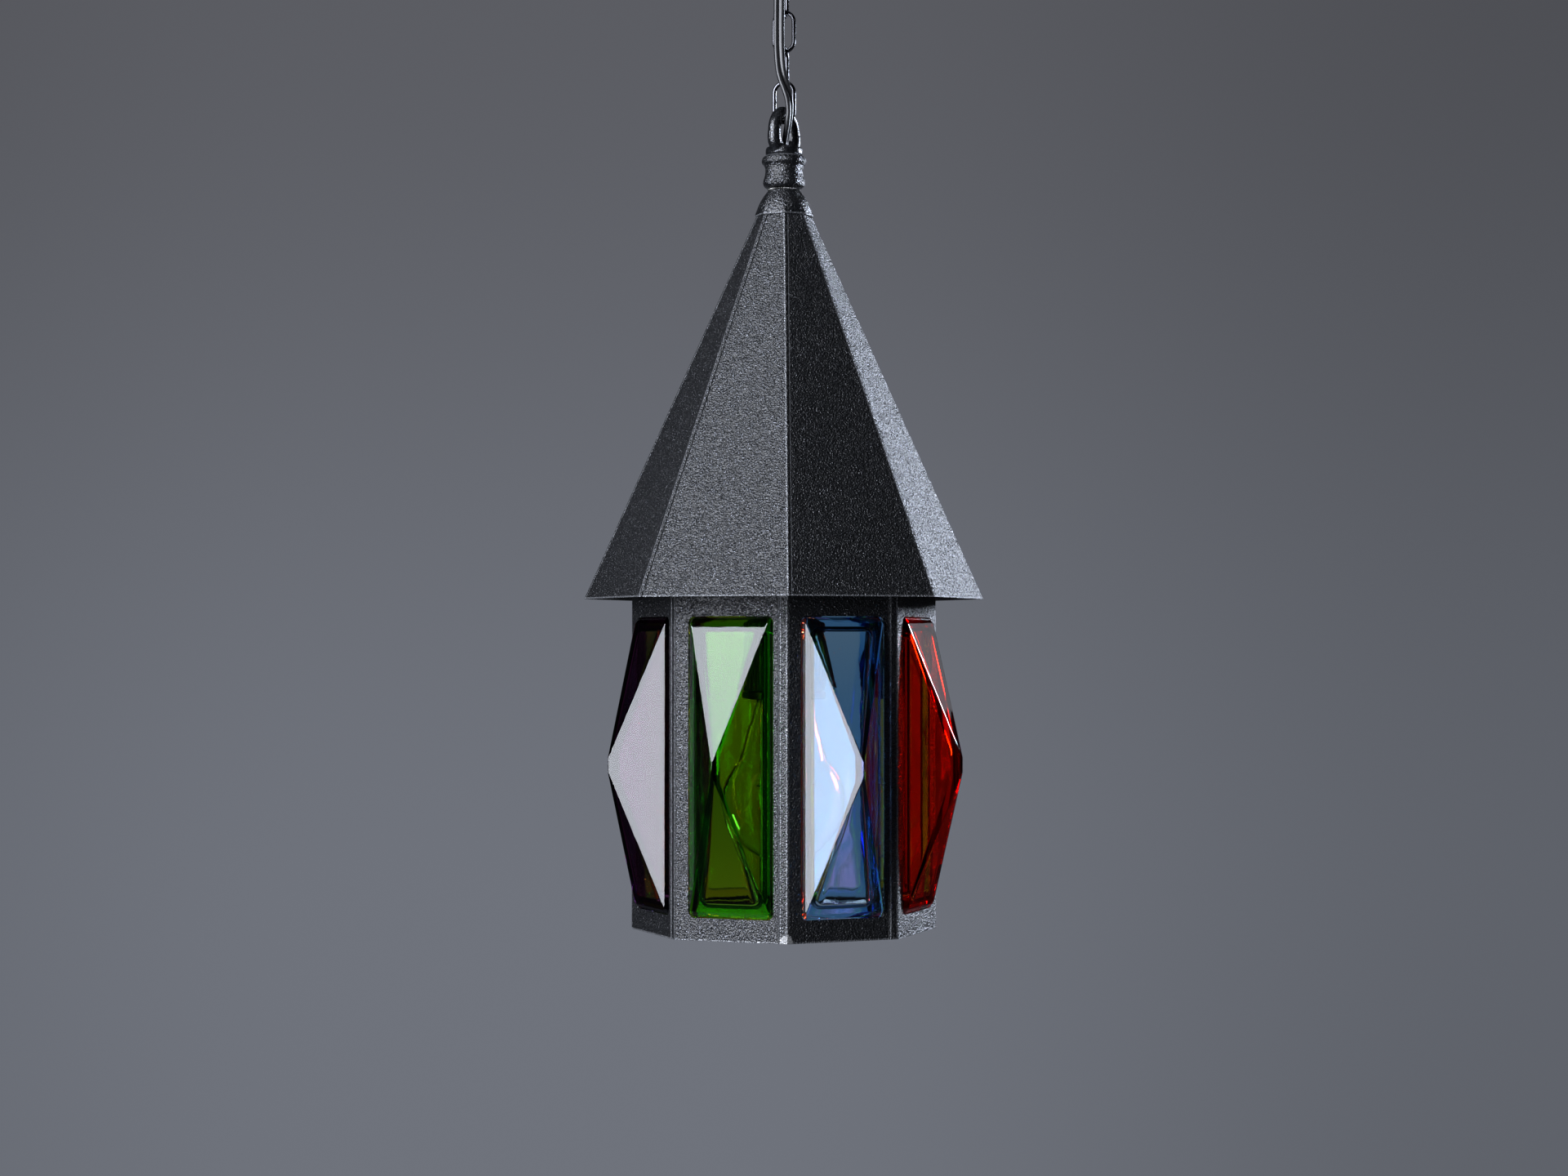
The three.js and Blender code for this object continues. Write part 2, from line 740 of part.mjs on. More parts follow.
// Chain: each link is a stretched torus, turned a quarter from the one below
function link(centre) {
  const bow = (linkWidth - linkWire) / 2;
  const stretch = (linkLength - linkWidth) / 2;
  const steps = 16;
  const torus = new THREE.TorusGeometry(bow, linkWire / 2, 8, steps).rotateZ(Math.PI / steps);
  const place = torus.attributes.position;
  for (let i = 0; i < place.count; i += 1) {
    place.setY(i, place.getY(i) + Math.sign(place.getY(i)) * stretch);
  }
  return closed(torus.rotateX(Math.PI / 2).translate(0, 0, centre));
}

for (let k = 0; k < LINKS; k += 1) {
  piece(`chain_link_${k + 1}`, link(firstLink + k * linkPitch), chainSteel, linkTurn + quarter * (k % 2));
}

// Ceiling fitting
const plateRadius = canopyRadius - canopyWall - plateClearance;
const plateFoot = eaveDrop - plateThickness;
const hookTop = plateFoot - canopyWall;

function hookPath() {
  const from = 62;
  const through = 272;
  const steps = 16;
  const points = [[0, hookTop], [0, hookCentre + hookRadius + hookNeck]];
  for (let i = 0; i <= steps; i += 1) {
    const turn = THREE.MathUtils.degToRad(from - (through * i) / steps);
    points.push([hookRadius * Math.cos(turn), hookCentre + hookRadius * Math.sin(turn)]);
  }
  return points.map(([x, z]) => new THREE.Vector3(x, 0, z));
}

// A round bar along a path that lies in the plane y = 0.
function bar(path, radius, sides) {
  const rings = path.map((point, i) => {
    const before = path[Math.max(i - 1, 0)];
    const after = path[Math.min(i + 1, path.length - 1)];
    const along = after.clone().sub(before).normalize();
    const across = new THREE.Vector3(along.z, 0, -along.x);
    const ringPoints = [];
    for (let s = 0; s < sides; s += 1) {
      const angle = (2 * Math.PI * (s + 0.5)) / sides;
      ringPoints.push(point.clone()
        .addScaledVector(across, radius * Math.cos(angle))
        .addScaledVector(new THREE.Vector3(0, 1, 0), radius * Math.sin(angle)));
    }
    return ringPoints;
  });
  return loft(rings, true);
}

piece('ceiling_hook', bar(hookPath(), hookWire / 2, 10), zinc, linkTurn + quarter * (LINKS % 2));

// The flex passes the chain on its front side, and enters the ceiling fitting there.
const flexWayX = -2.6;
const flexWayY = -8.3;
const flexHole = flexPitch / 2 + flexCore / 2 + gap;
const bushRadius = flexHole + bushWall;

const plate = turned([
  [0, eaveDrop],
  [plateRadius, eaveDrop],
  [plateRadius, plateFoot],
  [plateBoss, plateFoot],
  [plateBoss, plateFoot - plateBossHeight],
  [0, plateFoot - plateBossHeight],
], 32);
const shankHole = cylinder(hookWire / 2 + gap, plateFoot - plateBossHeight - 1, hookTop + gap, 16);
const screwHoles = [-1, 1].map((side) => cylinder(plateScrewRadius, plateFoot - 1, eaveDrop + 1, 16)
  .translate(side * plateScrewPlace, 0, 0));
piece('ceiling_plate', cut(plate, [shankHole, ...screwHoles]), zinc);

// The cup's side is a quarter of an ellipse from its flat floor up to its rim.
function cupSide(inset) {
  const steps = 5;
  const side = [];
  for (let i = 0; i <= steps; i += 1) {
    const angle = (Math.PI / 2) * (i / steps);
    side.push([
      canopyFloorRadius + (canopyRadius - inset - canopyFloorRadius) * Math.sin(angle),
      eaveDrop - canopyRim - (canopyDepth - canopyRim - inset) * Math.cos(angle),
    ]);
  }
  return side;
}

const cup = turned([
  [0, canopyFloor],
  ...cupSide(0),
  [canopyRadius, eaveDrop - gap],
  [canopyRadius - canopyWall, eaveDrop - gap],
  ...cupSide(canopyWall).reverse(),
  [0, canopyFloor + canopyWall],
], 32);
const cupShankHole = cylinder(hookWire / 2 + 2 * gap, canopyFloor - 1, canopyFloor + canopyWall + 1, 20);
const cupFlexHole = cylinder(bushRadius + gap, canopyFloor - 1, canopyFloor + canopyWall + 1, 24)
  .translate(flexWayX, flexWayY, 0);
piece('canopy_cup', cut(cup, [cupShankHole, cupFlexHole]), lacquer);

const canopyCollarBore = hookWire / 2 + gap;
const canopyCollarRadius = canopyCollarBore + canopyCollarWall;
piece('canopy_collar', turned([
  [canopyCollarBore, canopyCollarFoot],
  [canopyCollarRadius - canopyCollarWall / 2, canopyCollarFoot],
  [canopyCollarRadius, canopyCollarFoot + canopyCollarWall / 2],
  [canopyCollarRadius, canopyCollarFoot + canopyCollarHeight],
  [canopyCollarBore, canopyCollarFoot + canopyCollarHeight],
], 24), zinc);

const bushFoot = canopyFloor - bushWall - gap;
piece('cord_bush', turned([
  [flexHole, bushFoot],
  [bushRadius + bushFlange, bushFoot],
  [bushRadius + bushFlange, canopyFloor - gap],
  [bushRadius, canopyFloor - gap],
  [bushRadius, canopyFloor + canopyWall + bushInside],
  [flexHole, canopyFloor + canopyWall + bushInside],
], 24).translate(flexWayX, flexWayY, 0), blackPlastic);

const terminalTop = plateFoot - gap;
const terminalFoot = terminalTop - terminalHeight;
piece('terminal_block', box(
  terminalWidth, terminalDepth, terminalHeight,
  flexWayX, flexWayY - plateBoss / 2, terminalFoot + terminalHeight / 2,
), porcelain);

// Twin flex: [x, y, height above the eave, turn of its flat side in degrees]
const flexRoute = [
  [0, 0, coreTop + gap, 90],
  [0, 0, 110, 90],
  [0, 0, 220, 84],
  [0.1, -0.2, 225, 81],
  [0.4, -0.9, 229, 77],
  [0.9, -2.0, 232, 74],
  [1.4, -3.3, 235, 72],
  [1.9, -4.5, 238, 70],
  [2.3, -5.6, 241, 68],
  [2.6, -6.4, 244, 66],
  [2.5, -7.2, 248, 60],
  [1.9, -7.8, 252, 48],
  [0.8, -8.2, 256, 34],
  [-0.6, -8.4, 260, 20],
  [-1.6, -8.4, 264, 10],
  [-2.2, -8.4, 269, 3],
  [-2.6, -8.4, 276, 0],
  [-2.7, -8.3, 286, -2],
  [-2.6, -8.3, 300, -3],
  [flexWayX, flexWayY, 316, -2],
  [flexWayX, flexWayY, 332, 0],
  [flexWayX, flexWayY, terminalFoot - gap, 0],
];

// The flex's middle and the turn of its flat side at a height, between the route's points.
function flexAt(z) {
  const above = Math.max(1, flexRoute.findIndex((point) => point[2] >= z));
  const low = flexRoute[above - 1];
  const high = flexRoute[above];
  const [x, y, turn] = [0, 1, 3].map((i) => THREE.MathUtils.mapLinear(z, low[2], high[2], low[i], high[i]));
  return { middle: new THREE.Vector3(x, y, z), turn: THREE.MathUtils.degToRad(turn) };
}

// The plan of two cores side by side, a list of [along the flat side, across it].
function flexSection() {
  const r = flexCore / 2;
  const c = flexPitch / 2;
  const half = [[c + r, 0], [c + r * 0.7, r * 0.7], [c, r], [0, r * 0.72], [-c, r], [-c - r * 0.7, r * 0.7]];
  return [...half, ...half.map(([x, y]) => [-x, -y])];
}

function flexLength(from, to) {
  const between = flexRoute.map((point) => point[2]).filter((z) => z > from + gap && z < to - gap);
  const rings = [from, ...between, to].map((z) => {
    const { middle, turn } = flexAt(z);
    const wide = new THREE.Vector3(Math.cos(turn), Math.sin(turn), 0);
    const thin = new THREE.Vector3(-Math.sin(turn), Math.cos(turn), 0);
    return flexSection().map(([a, b]) => middle.clone().addScaledVector(wide, a).addScaledVector(thin, b));
  });
  return loft(rings, true);
}

const flexEnds = [flexRoute[0][2]];
for (let k = 0; k < LINKS; k += 1) flexEnds.push(firstLink + k * linkPitch);
flexEnds.push(flexRoute[flexRoute.length - 1][2]);
const flexNames = ['flex_in_lantern', 'flex_at_link_1', 'flex_at_link_2', 'flex_at_link_3', 'flex_in_canopy'];
flexNames.forEach((name, k) => {
  piece(name, flexLength(flexEnds[k] + gap / 2, flexEnds[k + 1] - gap / 2), blackPlastic);
});

export default group;
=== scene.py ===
"""The looks of an eight-sided iron lantern with coloured glass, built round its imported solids."""

import math

import bmesh
import bpy
from bpy.props import FloatProperty, FloatVectorProperty, IntProperty, PointerProperty
from mathutils import Matrix, Vector


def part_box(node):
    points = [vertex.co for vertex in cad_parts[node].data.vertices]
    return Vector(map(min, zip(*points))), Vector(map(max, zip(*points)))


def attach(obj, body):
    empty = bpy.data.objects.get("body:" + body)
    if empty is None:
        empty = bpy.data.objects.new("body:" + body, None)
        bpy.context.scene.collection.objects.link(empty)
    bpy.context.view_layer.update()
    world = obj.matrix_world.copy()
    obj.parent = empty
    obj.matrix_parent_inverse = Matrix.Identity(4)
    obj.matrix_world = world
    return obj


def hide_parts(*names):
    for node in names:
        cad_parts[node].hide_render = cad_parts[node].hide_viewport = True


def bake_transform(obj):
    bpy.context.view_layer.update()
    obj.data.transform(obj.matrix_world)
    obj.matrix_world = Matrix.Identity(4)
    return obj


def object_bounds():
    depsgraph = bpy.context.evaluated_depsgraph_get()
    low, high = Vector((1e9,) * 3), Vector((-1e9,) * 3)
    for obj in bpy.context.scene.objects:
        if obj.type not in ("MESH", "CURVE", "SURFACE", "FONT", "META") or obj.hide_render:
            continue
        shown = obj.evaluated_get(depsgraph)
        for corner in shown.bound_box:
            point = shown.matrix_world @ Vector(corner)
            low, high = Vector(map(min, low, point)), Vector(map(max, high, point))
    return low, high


bl_info = {
    "name": "Hanging Iron Lantern",
    "version": (1, 0, 0),
    "blender": (4, 5, 0),
    "location": "3D View > Sidebar > Lantern",
    "description": "Builds the finished pieces of an eight-sided lantern round its solids",
    "category": "Add Mesh",
}

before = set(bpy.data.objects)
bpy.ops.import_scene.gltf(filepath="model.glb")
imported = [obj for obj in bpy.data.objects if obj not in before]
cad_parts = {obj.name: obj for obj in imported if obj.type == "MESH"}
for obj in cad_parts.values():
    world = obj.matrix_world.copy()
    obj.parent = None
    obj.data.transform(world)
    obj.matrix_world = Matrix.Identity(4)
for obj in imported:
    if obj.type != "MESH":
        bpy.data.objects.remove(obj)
cad_low, cad_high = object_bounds()

SIDES = 8
SIDE_ANGLE = math.tau / SIDES
GAP = 0.0003    # between the loop and the tube in it
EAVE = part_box("roof_panel_1")[0].z
BODY_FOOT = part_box("side_panel_1")[0].z
LINKS = 4
LINK_TURN = math.radians(-18)
LOOP_TURN = math.radians(58)
COLOURS = ("aubergine", "green", "blue", "red", "red_rear", "blue_rear", "amber", "green_rear")
RIDGE_WALL = 0.0061    # a glass's thickness under its ridge

# The flex's route as in the solids: x, y, height above the eave in millimetres, turn in degrees
FLEX_ROUTE = (
    (0, 0, -13.9, 90), (0, 0, 110, 90), (0, 0, 220, 84), (0.1, -0.2, 225, 81),
    (0.4, -0.9, 229, 77), (0.9, -2.0, 232, 74), (1.4, -3.3, 235, 72), (1.9, -4.5, 238, 70),
    (2.3, -5.6, 241, 68), (2.6, -6.4, 244, 66), (2.5, -7.2, 248, 60), (1.9, -7.8, 252, 48),
    (0.8, -8.2, 256, 34), (-0.6, -8.4, 260, 20), (-1.6, -8.4, 264, 10), (-2.2, -8.4, 269, 3),
    (-2.6, -8.4, 276, 0), (-2.7, -8.3, 286, -2), (-2.6, -8.3, 300, -3), (-2.6, -8.3, 316, -2),
    (-2.6, -8.3, 332, 0), (-2.6, -8.3, 347.5, 0),
)


def facing(side):
    """The angle by which side number 0 to 7 is turned from the front."""
    return (side - 1.5) * SIDE_ANGLE


def length_property(name, description, default):
    """A length that a user can change."""
    return FloatProperty(name=name, description=description, default=default, unit="LENGTH")


def colour_property(name, description, default):
    """A colour that a user can change."""
    return FloatVectorProperty(
        name=name, description=description, default=default, subtype="COLOR", min=0, max=1)


class LanternSizes(bpy.types.PropertyGroup):
    """Sizes of the finishing work that the solids leave open."""

    sheet_round: length_property("Sheet edge", "Radius of the lacquer on a sheet's edges", 0.00032)
    glass_round: length_property("Glass edge", "Radius of the glass's outer edges", 0.0004)
    hollow_round: length_property("Hollow edge", "Radius of the edges in the glass's hollow", 0.0016)
    grain: length_property("Lacquer grain", "Width of one lump of the hammered lacquer", 0.0008)
    grain_depth: length_property("Grain depth", "Height of one lump of the lacquer", 0.00048)
    roof_fold: length_property("Roof fold", "Width of a roof sheet's lap on its neighbour", 0.0014)
    body_fold: length_property("Body fold", "Width of a side panel's lap on its neighbour", 0.004)
    bead_teeth: IntProperty(
        name="Bead teeth", description="Number of teeth round the bead washer", default=44)
    flex_core: length_property("Flex core", "Diameter of one core of the twin flex", 0.0027)
    flex_pitch: length_property("Flex pitch", "Distance between the flex's two cores", 0.0028)
    link_wire: length_property("Link wire", "Diameter of the chain's wire", 0.0021)
    screw_pitch: length_property("Bulb thread", "Pitch of the bulb's thread", 0.0036)
    tube_pitch: length_property("Tube thread", "Pitch of the tube's thread", 0.001)


class LanternColours(bpy.types.PropertyGroup):
    """Colours of the finishes."""

    lacquer: colour_property("Lacquer", "Black hammered lacquer", (0.004, 0.0043, 0.005))
    # The worn edge colour is rubbed lacquer, and also a painted highlight along hips, folds, eave and
    # rims
    wear_and_highlight: colour_property("Worn edge", "Lacquer rubbed thin on an edge", (0.34, 0.35, 0.37))
    flake: colour_property("Flake", "Metal flakes at the tops of the lumps", (0.13, 0.135, 0.15))
    chip: colour_property("Chip", "Bare solder where the lacquer is chipped", (0.2, 0.2, 0.2))
    chain: colour_property("Chain", "Blackened bright steel", (0.11, 0.11, 0.12))
    zinc: colour_property("Zinc", "Dull zinc plate", (0.46, 0.455, 0.43))
    brass: colour_property("Brass", "Rolled brass", (0.62, 0.44, 0.18))
    plastic: colour_property("Plastic", "Black moulded plastic", (0.01, 0.01, 0.011))
    porcelain: colour_property("Porcelain", "Glazed porcelain", (0.74, 0.71, 0.64))
    flex: colour_property("Flex", "Black flex", (0.018, 0.018, 0.019))
    tungsten: colour_property("Tungsten", "Filament wire", (0.2, 0.19, 0.18))
    aubergine: colour_property("Aubergine glass", "What a wall of it lets through", (0.34, 0.13, 0.3))
    green: colour_property("Green glass", "What a wall of it lets through", (0.17, 0.6, 0.015))
    blue: colour_property("Blue glass", "What a wall of it lets through", (0.48, 0.74, 0.95))
    red: colour_property("Red glass", "What a wall of it lets through", (0.85, 0.1, 0.022))
    amber: colour_property("Amber glass", "What a wall of it lets through", (0.95, 0.6, 0.05))


def sizes():
    return bpy.context.scene.lantern_sizes


def colours():
    return bpy.context.scene.lantern_colours


# Shader maths

def maths_method(operation, reflected=False):
    """A method of Wire that adds one Math node."""
    def method(self, *others):
        values = (*others, self) if reflected else (self, *others)
        return self.finish.node("ShaderNodeMath", {"operation": operation}, *values)[0]
    return method


class Wire:
    """A shader socket that is worked with as a Python value."""

    __add__ = maths_method("ADD")
    __radd__ = maths_method("ADD", reflected=True)
    __sub__ = maths_method("SUBTRACT")
    __rsub__ = maths_method("SUBTRACT", reflected=True)
    __mul__ = maths_method("MULTIPLY")
    __rmul__ = maths_method("MULTIPLY", reflected=True)
    __truediv__ = maths_method("DIVIDE")
    __rtruediv__ = maths_method("DIVIDE", reflected=True)
    least = maths_method("MINIMUM")
    most = maths_method("MAXIMUM")
    sine = maths_method("SINE")
    cosine = maths_method("COSINE")
    angle_to = maths_method("ARCTAN2")
    root = maths_method("SQRT")
    floor = maths_method("FLOOR")
    size = maths_method("ABSOLUTE")

    def __init__(self, finish, socket):
        self.finish = finish
        self.socket = socket

    def clipped(self):
        return self.least(1).most(0)

    def ramp(self, low, high):
        """0 below low, 1 above high, and smooth between them."""
        share = ((self - low) / (high - low)).clipped()
        return share * share * (3 - 2 * share)


class Finish:
    """A material and the nodes that it is made of."""

    def __init__(self, name):
        self.material = bpy.data.materials.new(name)
        self.material.use_nodes = True
        self.tree = self.material.node_tree
        self.surface = self.tree.nodes["Principled BSDF"]
        self.output = self.tree.nodes["Material Output"]

    def node(self, kind, settings=None, *inputs, **named):
        """A node's outputs, after its settings and then its sockets are set."""
        made = self.tree.nodes.new(kind)
        for key, value in (settings or {}).items():
            setattr(made, key, value)
        for index, value in enumerate(inputs):
            self.plug(made.inputs[index], value)
        for key, value in named.items():
            self.plug(made.inputs[key.replace("_", " ")], value)
        return [Wire(self, socket) for socket in made.outputs]

    def plug(self, socket, value):
        if isinstance(value, Wire):
            self.tree.links.new(value.socket, socket)
        elif socket.type == "RGBA" and len(value) == 3:
            socket.default_value = (*value, 1)
        else:
            socket.default_value = value

    def set(self, **named):
        """Sets or links sockets of the shader itself."""
        for key, value in named.items():
            self.plug(self.surface.inputs[key.replace("_", " ")], value)

    def place(self):
        """The point on the piece, in metres, which stays with the piece as it moves."""
        return self.node("ShaderNodeTexCoord")[3]

    def parts(self, vector):
        return self.node("ShaderNodeSeparateXYZ", None, vector)

    def stretched(self, vector, scale):
        return self.node("ShaderNodeVectorMath", {"operation": "MULTIPLY"}, vector, scale)[0]

    def mixed(self, share, first, second):
        """A colour between two colours."""
        mix = self.tree.nodes.new("ShaderNodeMix")
        mix.data_type = "RGBA"
        self.plug(mix.inputs[0], share)
        self.plug(mix.inputs[6], first)
        self.plug(mix.inputs[7], second)
        return Wire(self, mix.outputs[2])

    def clouds(self, vector, width, detail=3.0, roughness=0.55, distortion=0.0):
        """Soft noise from 0 to 1 whose lumps are about this many metres wide."""
        return self.node(
            "ShaderNodeTexNoise", None, Vector=vector, Scale=1 / width, Detail=detail,
            Roughness=roughness, Distortion=distortion)[0]

    def cells(self, vector, width, smoothness):
        """The distance to the nearest of scattered points, about this many metres apart."""
        return self.node(
            "ShaderNodeTexVoronoi", {"feature": "SMOOTH_F1"}, Vector=vector, Scale=1 / width,
            Randomness=1.0, Smoothness=smoothness)[0]

    def bump(self, height, distance, strength=1.0):
        """The normal of a surface whose height from 0 to 1 stands for this distance in metres."""
        return self.node("ShaderNodeBump", None, Strength=strength, Distance=distance, Height=height)[0]

    def line(self, distance, width, breaks):
        """A mark along the place where a distance is 0, whose width the breaks eat into."""
        return 1 - (distance.size() + (breaks - 0.5) * width).ramp(width * 0.5, width)

    def on_side(self, place):
        """The distances across and out on whichever of the eight sides the point is on."""
        x, y = self.parts(place)[:2]
        angle = x.angle_to(0 - y)
        side = (angle / SIDE_ANGLE).floor()
        local = angle - side * SIDE_ANGLE - SIDE_ANGLE / 2
        reach = (x * x + y * y).root()
        return reach * local.sine(), reach * local.cosine()


class Surroundings(Finish):
    """The world's nodes, built as a material's are."""

    def __init__(self, world):
        self.tree = world.node_tree
        self.output = self.tree.nodes["World Output"]


def hammered_lacquer(name, marks=None, depth=1.0, gloss=0.0):
    """Black lacquer with metal flakes that dried in fine sharp lumps. marks(it, place, breaks) gives
    masks of the lines that are rubbed through and also painted pale as highlights on the edges, of dark
    shut seams and of bare chips. depth is a share of the grain's, and gloss comes off the roughness."""
    size = sizes()
    colour = colours()
    it = Finish(name)
    place = it.place()
    bent = it.clouds(place, size.grain * 2.6, detail=1.0, distortion=1.0)
    lumps = it.cells(place, size.grain, smoothness=0.15)
    fine = it.clouds(place, size.grain * 0.7, detail=1.0, roughness=0.6)
    drift = it.clouds(place, size.grain * 12, detail=2.0)
    height = (1 - lumps) + fine * 0.5 + bent * 0.6
    tops = ((0.42 - lumps) * 2.6 + (fine - 0.5) * 3 + (bent - 0.5) * 1.5 + 0.35).clipped()
    bare = tops.ramp(0.5, 0.85)
    tint = it.mixed(bare, tuple(colour.lacquer), tuple(colour.flake))
    shut = 0
    if marks:
        breaks = it.clouds(place, 0.0026, detail=4.0, roughness=0.7)
        wear_and_highlight, shut, chips = marks(it, place, breaks)
        # Pale edge lines: rubbed lacquer, and also painted highlights where the edges would catch the
        # light
        wear_and_highlight = wear_and_highlight * (0.3 + tops * 0.7)
        tint = it.mixed(wear_and_highlight, tint, tuple(colour.wear_and_highlight))
        bare = bare.most(wear_and_highlight)
        if chips:
            tint = it.mixed(chips, tint, tuple(colour.chip))
            height = height * (1 - chips) + chips * 0.8
    rough = 0.33 - tops * 0.2 + drift * 0.06 + shut * 0.5 - gloss
    it.set(
        Base_Color=tint,
        Roughness=rough.clipped(),
        Metallic=bare,
        Normal=it.bump(height, size.grain_depth * depth),
        IOR=1.6,
    )
    return it.material


def roof_marks(it, place, breaks):
    """Pale lines on the roof, partly rubbed lacquer and partly painted highlight: the hips, the folds'
    edges and the eave.
    """
    across, out = it.on_side(place)
    height = it.parts(place)[2]
    half = out * math.tan(SIDE_ANGLE / 2)
    beyond = half + across - sizes().roof_fold
    hip = it.line(half - across - 0.0003, 0.0006, breaks)
    fold = it.line(beyond, 0.0003, breaks)
    eave = it.line(height - EAVE - 0.0002, 0.0008, breaks)
    seam = it.line(beyond - 0.0003, 0.0004, breaks)
    return (hip * 0.8 + fold * 0.4).most(eave * 0.8), seam, 0


def body_marks(it, place, breaks):
    """Pale lines on the body, partly rubbed lacquer and partly painted highlight: the corners, the
    folds' edges and the rim, with one bare blob of solder at the foot of the front corner."""
    across, out = it.on_side(place)
    x, y, z = it.parts(place)
    half = out * math.tan(SIDE_ANGLE / 2)
    beyond = half - across - sizes().body_fold
    corner = it.line(half - across - 0.0003, 0.0006, breaks)
    fold = it.line(beyond, 0.0007, breaks)
    rim = it.line(z - BODY_FOOT, 0.0009, breaks)
    seam = it.line(beyond - 0.0007, 0.0007, breaks)
    far = it.line(half + across - 0.0006, 0.0004, breaks)
    solder_x, solder_z = -0.0008, BODY_FOOT + 0.0016
    solder_width, solder_height = 0.0032, 0.0028
    wide = (x - solder_x) / solder_width
    tall = (z - solder_z) / solder_height
    blob = wide * wide + tall * tall + (breaks - 0.5) * 4.5
    front = (0 - y).ramp(0.03, 0.04)
    wear_and_highlight = (corner * 0.6 + fold).most(rim * 0.8)
    return wear_and_highlight, seam.most(far), (1 - blob.ramp(0.7, 1.1)) * front * 0.8


def cap_marks(it, place, breaks):
    """Pale lines on the turned pieces over the roof, partly rubbed lacquer and partly painted
    highlight: the cap's foot and the collar's upper rim.
    """
    height = it.parts(place)[2]
    foot = it.line(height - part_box("roof_cap")[0].z - 0.0001, 0.0007, breaks)
    top = it.line(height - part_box("collar")[1].z + 0.0002, 0.0006, breaks)
    return foot.most(top) * 0.9, 0, 0


def metal(name, colour, rough, grime, scratch_width, depth, shade=1):
    """A bare metal with cloudy wear and fine scratches. shade darkens its colour to a share."""
    colour = [channel * shade for channel in getattr(colours(), colour)]
    it = Finish(name)
    place = it.place()
    cloudy = it.clouds(place, 0.006, detail=4.0)
    speck = it.clouds(place, 0.0009, detail=3.0, roughness=0.7)
    lines = it.clouds(it.stretched(place, (1, 1, 0.12)), scratch_width, detail=2.0)
    dirt = (cloudy * 0.7 + speck * 0.5).ramp(0.5, 0.8)
    dark = [channel * 0.25 for channel in colour]
    it.set(
        Base_Color=it.mixed(dirt * grime, colour, dark),
        Metallic=1.0,
        Roughness=(rough + dirt * 0.25 * grime + lines * 0.08).clipped(),
        Normal=it.bump(lines * 0.6 + speck * 0.4, depth, 0.6),
    )
    return it.material


def moulded(name, colour, rough, grain, depth):
    """Moulded or glazed stuff with a slight skin."""
    colour = list(getattr(colours(), colour))
    it = Finish(name)
    place = it.place()
    skin = it.clouds(place, grain, detail=3.0)
    dust = it.clouds(place, 0.004, detail=5.0, roughness=0.65).ramp(0.55, 0.8)
    pale = [min(1, channel * 1.6 + 0.02) for channel in colour]
    it.set(
        Base_Color=it.mixed(dust * 0.3, colour, pale),
        Roughness=(rough + dust * 0.12).clipped(),
        Normal=it.bump(skin, depth, 0.5),
        IOR=1.5,
    )
    return it.material


def flex_skin(name):
    """Glossy black flex with faint drawn lines along it."""
    it = Finish(name)
    place = it.place()
    drawn = it.clouds(it.stretched(place, (1, 1, 0.05)), 0.0007, detail=2.0)
    marks = it.clouds(place, 0.0035, detail=3.0)
    it.set(
        Base_Color=it.mixed(
            marks.ramp(0.55, 0.75) * 0.3, tuple(colours().flex), (0.035, 0.035, 0.037)),
        Roughness=(0.17 + drawn * 0.12 + marks * 0.1).clipped(),
        Normal=it.bump(drawn, 0.00005, 0.5),
        IOR=1.5,
    )
    return it.material


def pressed_glass(name, colour):
    """Coloured glass pressed in an iron mould: slightly wavy, and darker where it is thick. A wall as
    thick as that of its long facets lets the colour through."""
    through = list(getattr(colours(), colour))
    wall = RIDGE_WALL * math.cos(math.radians(45))
    deepest = math.log(min(through))
    it = Finish(name)
    place = it.place()
    waves = it.clouds(place, 0.013, detail=1.0)
    mould = it.clouds(place, 0.0016, detail=2.0)
    it.set(
        Base_Color=(1.0, 1.0, 1.0),
        Roughness=(0.012 + mould * 0.02).clipped(),
        Normal=it.bump(waves * 0.9 + mould * 0.05, 0.00035, 0.35),
        Transmission_Weight=1.0,
        IOR=1.48,
    )
    absorbing = it.tree.nodes.new("ShaderNodeVolumeAbsorption")
    tint = [1 - math.log(channel) / deepest for channel in through]
    absorbing.inputs["Color"].default_value = (*tint, 1)
    absorbing.inputs["Density"].default_value = -deepest / wall
    it.tree.links.new(absorbing.outputs[0], it.output.inputs["Volume"])
    return it.material


def clear_glass(name):
    it = Finish(name)
    it.set(Base_Color=(1.0, 1.0, 1.0), Roughness=0.0, Transmission_Weight=1.0, IOR=1.45)
    return it.material


def lacquer_finish(**settings):
    return "hammered_lacquer", hammered_lacquer, settings


def metal_finish(slot, colour, rough, grime, scratch_width, depth, shade=1):
    return slot, metal, {
        "colour": colour, "rough": rough, "grime": grime, "scratch_width": scratch_width,
        "depth": depth, "shade": shade}


def moulded_finish(slot, colour, rough, grain, depth):
    return slot, moulded, {"colour": colour, "rough": rough, "grain": grain, "depth": depth}


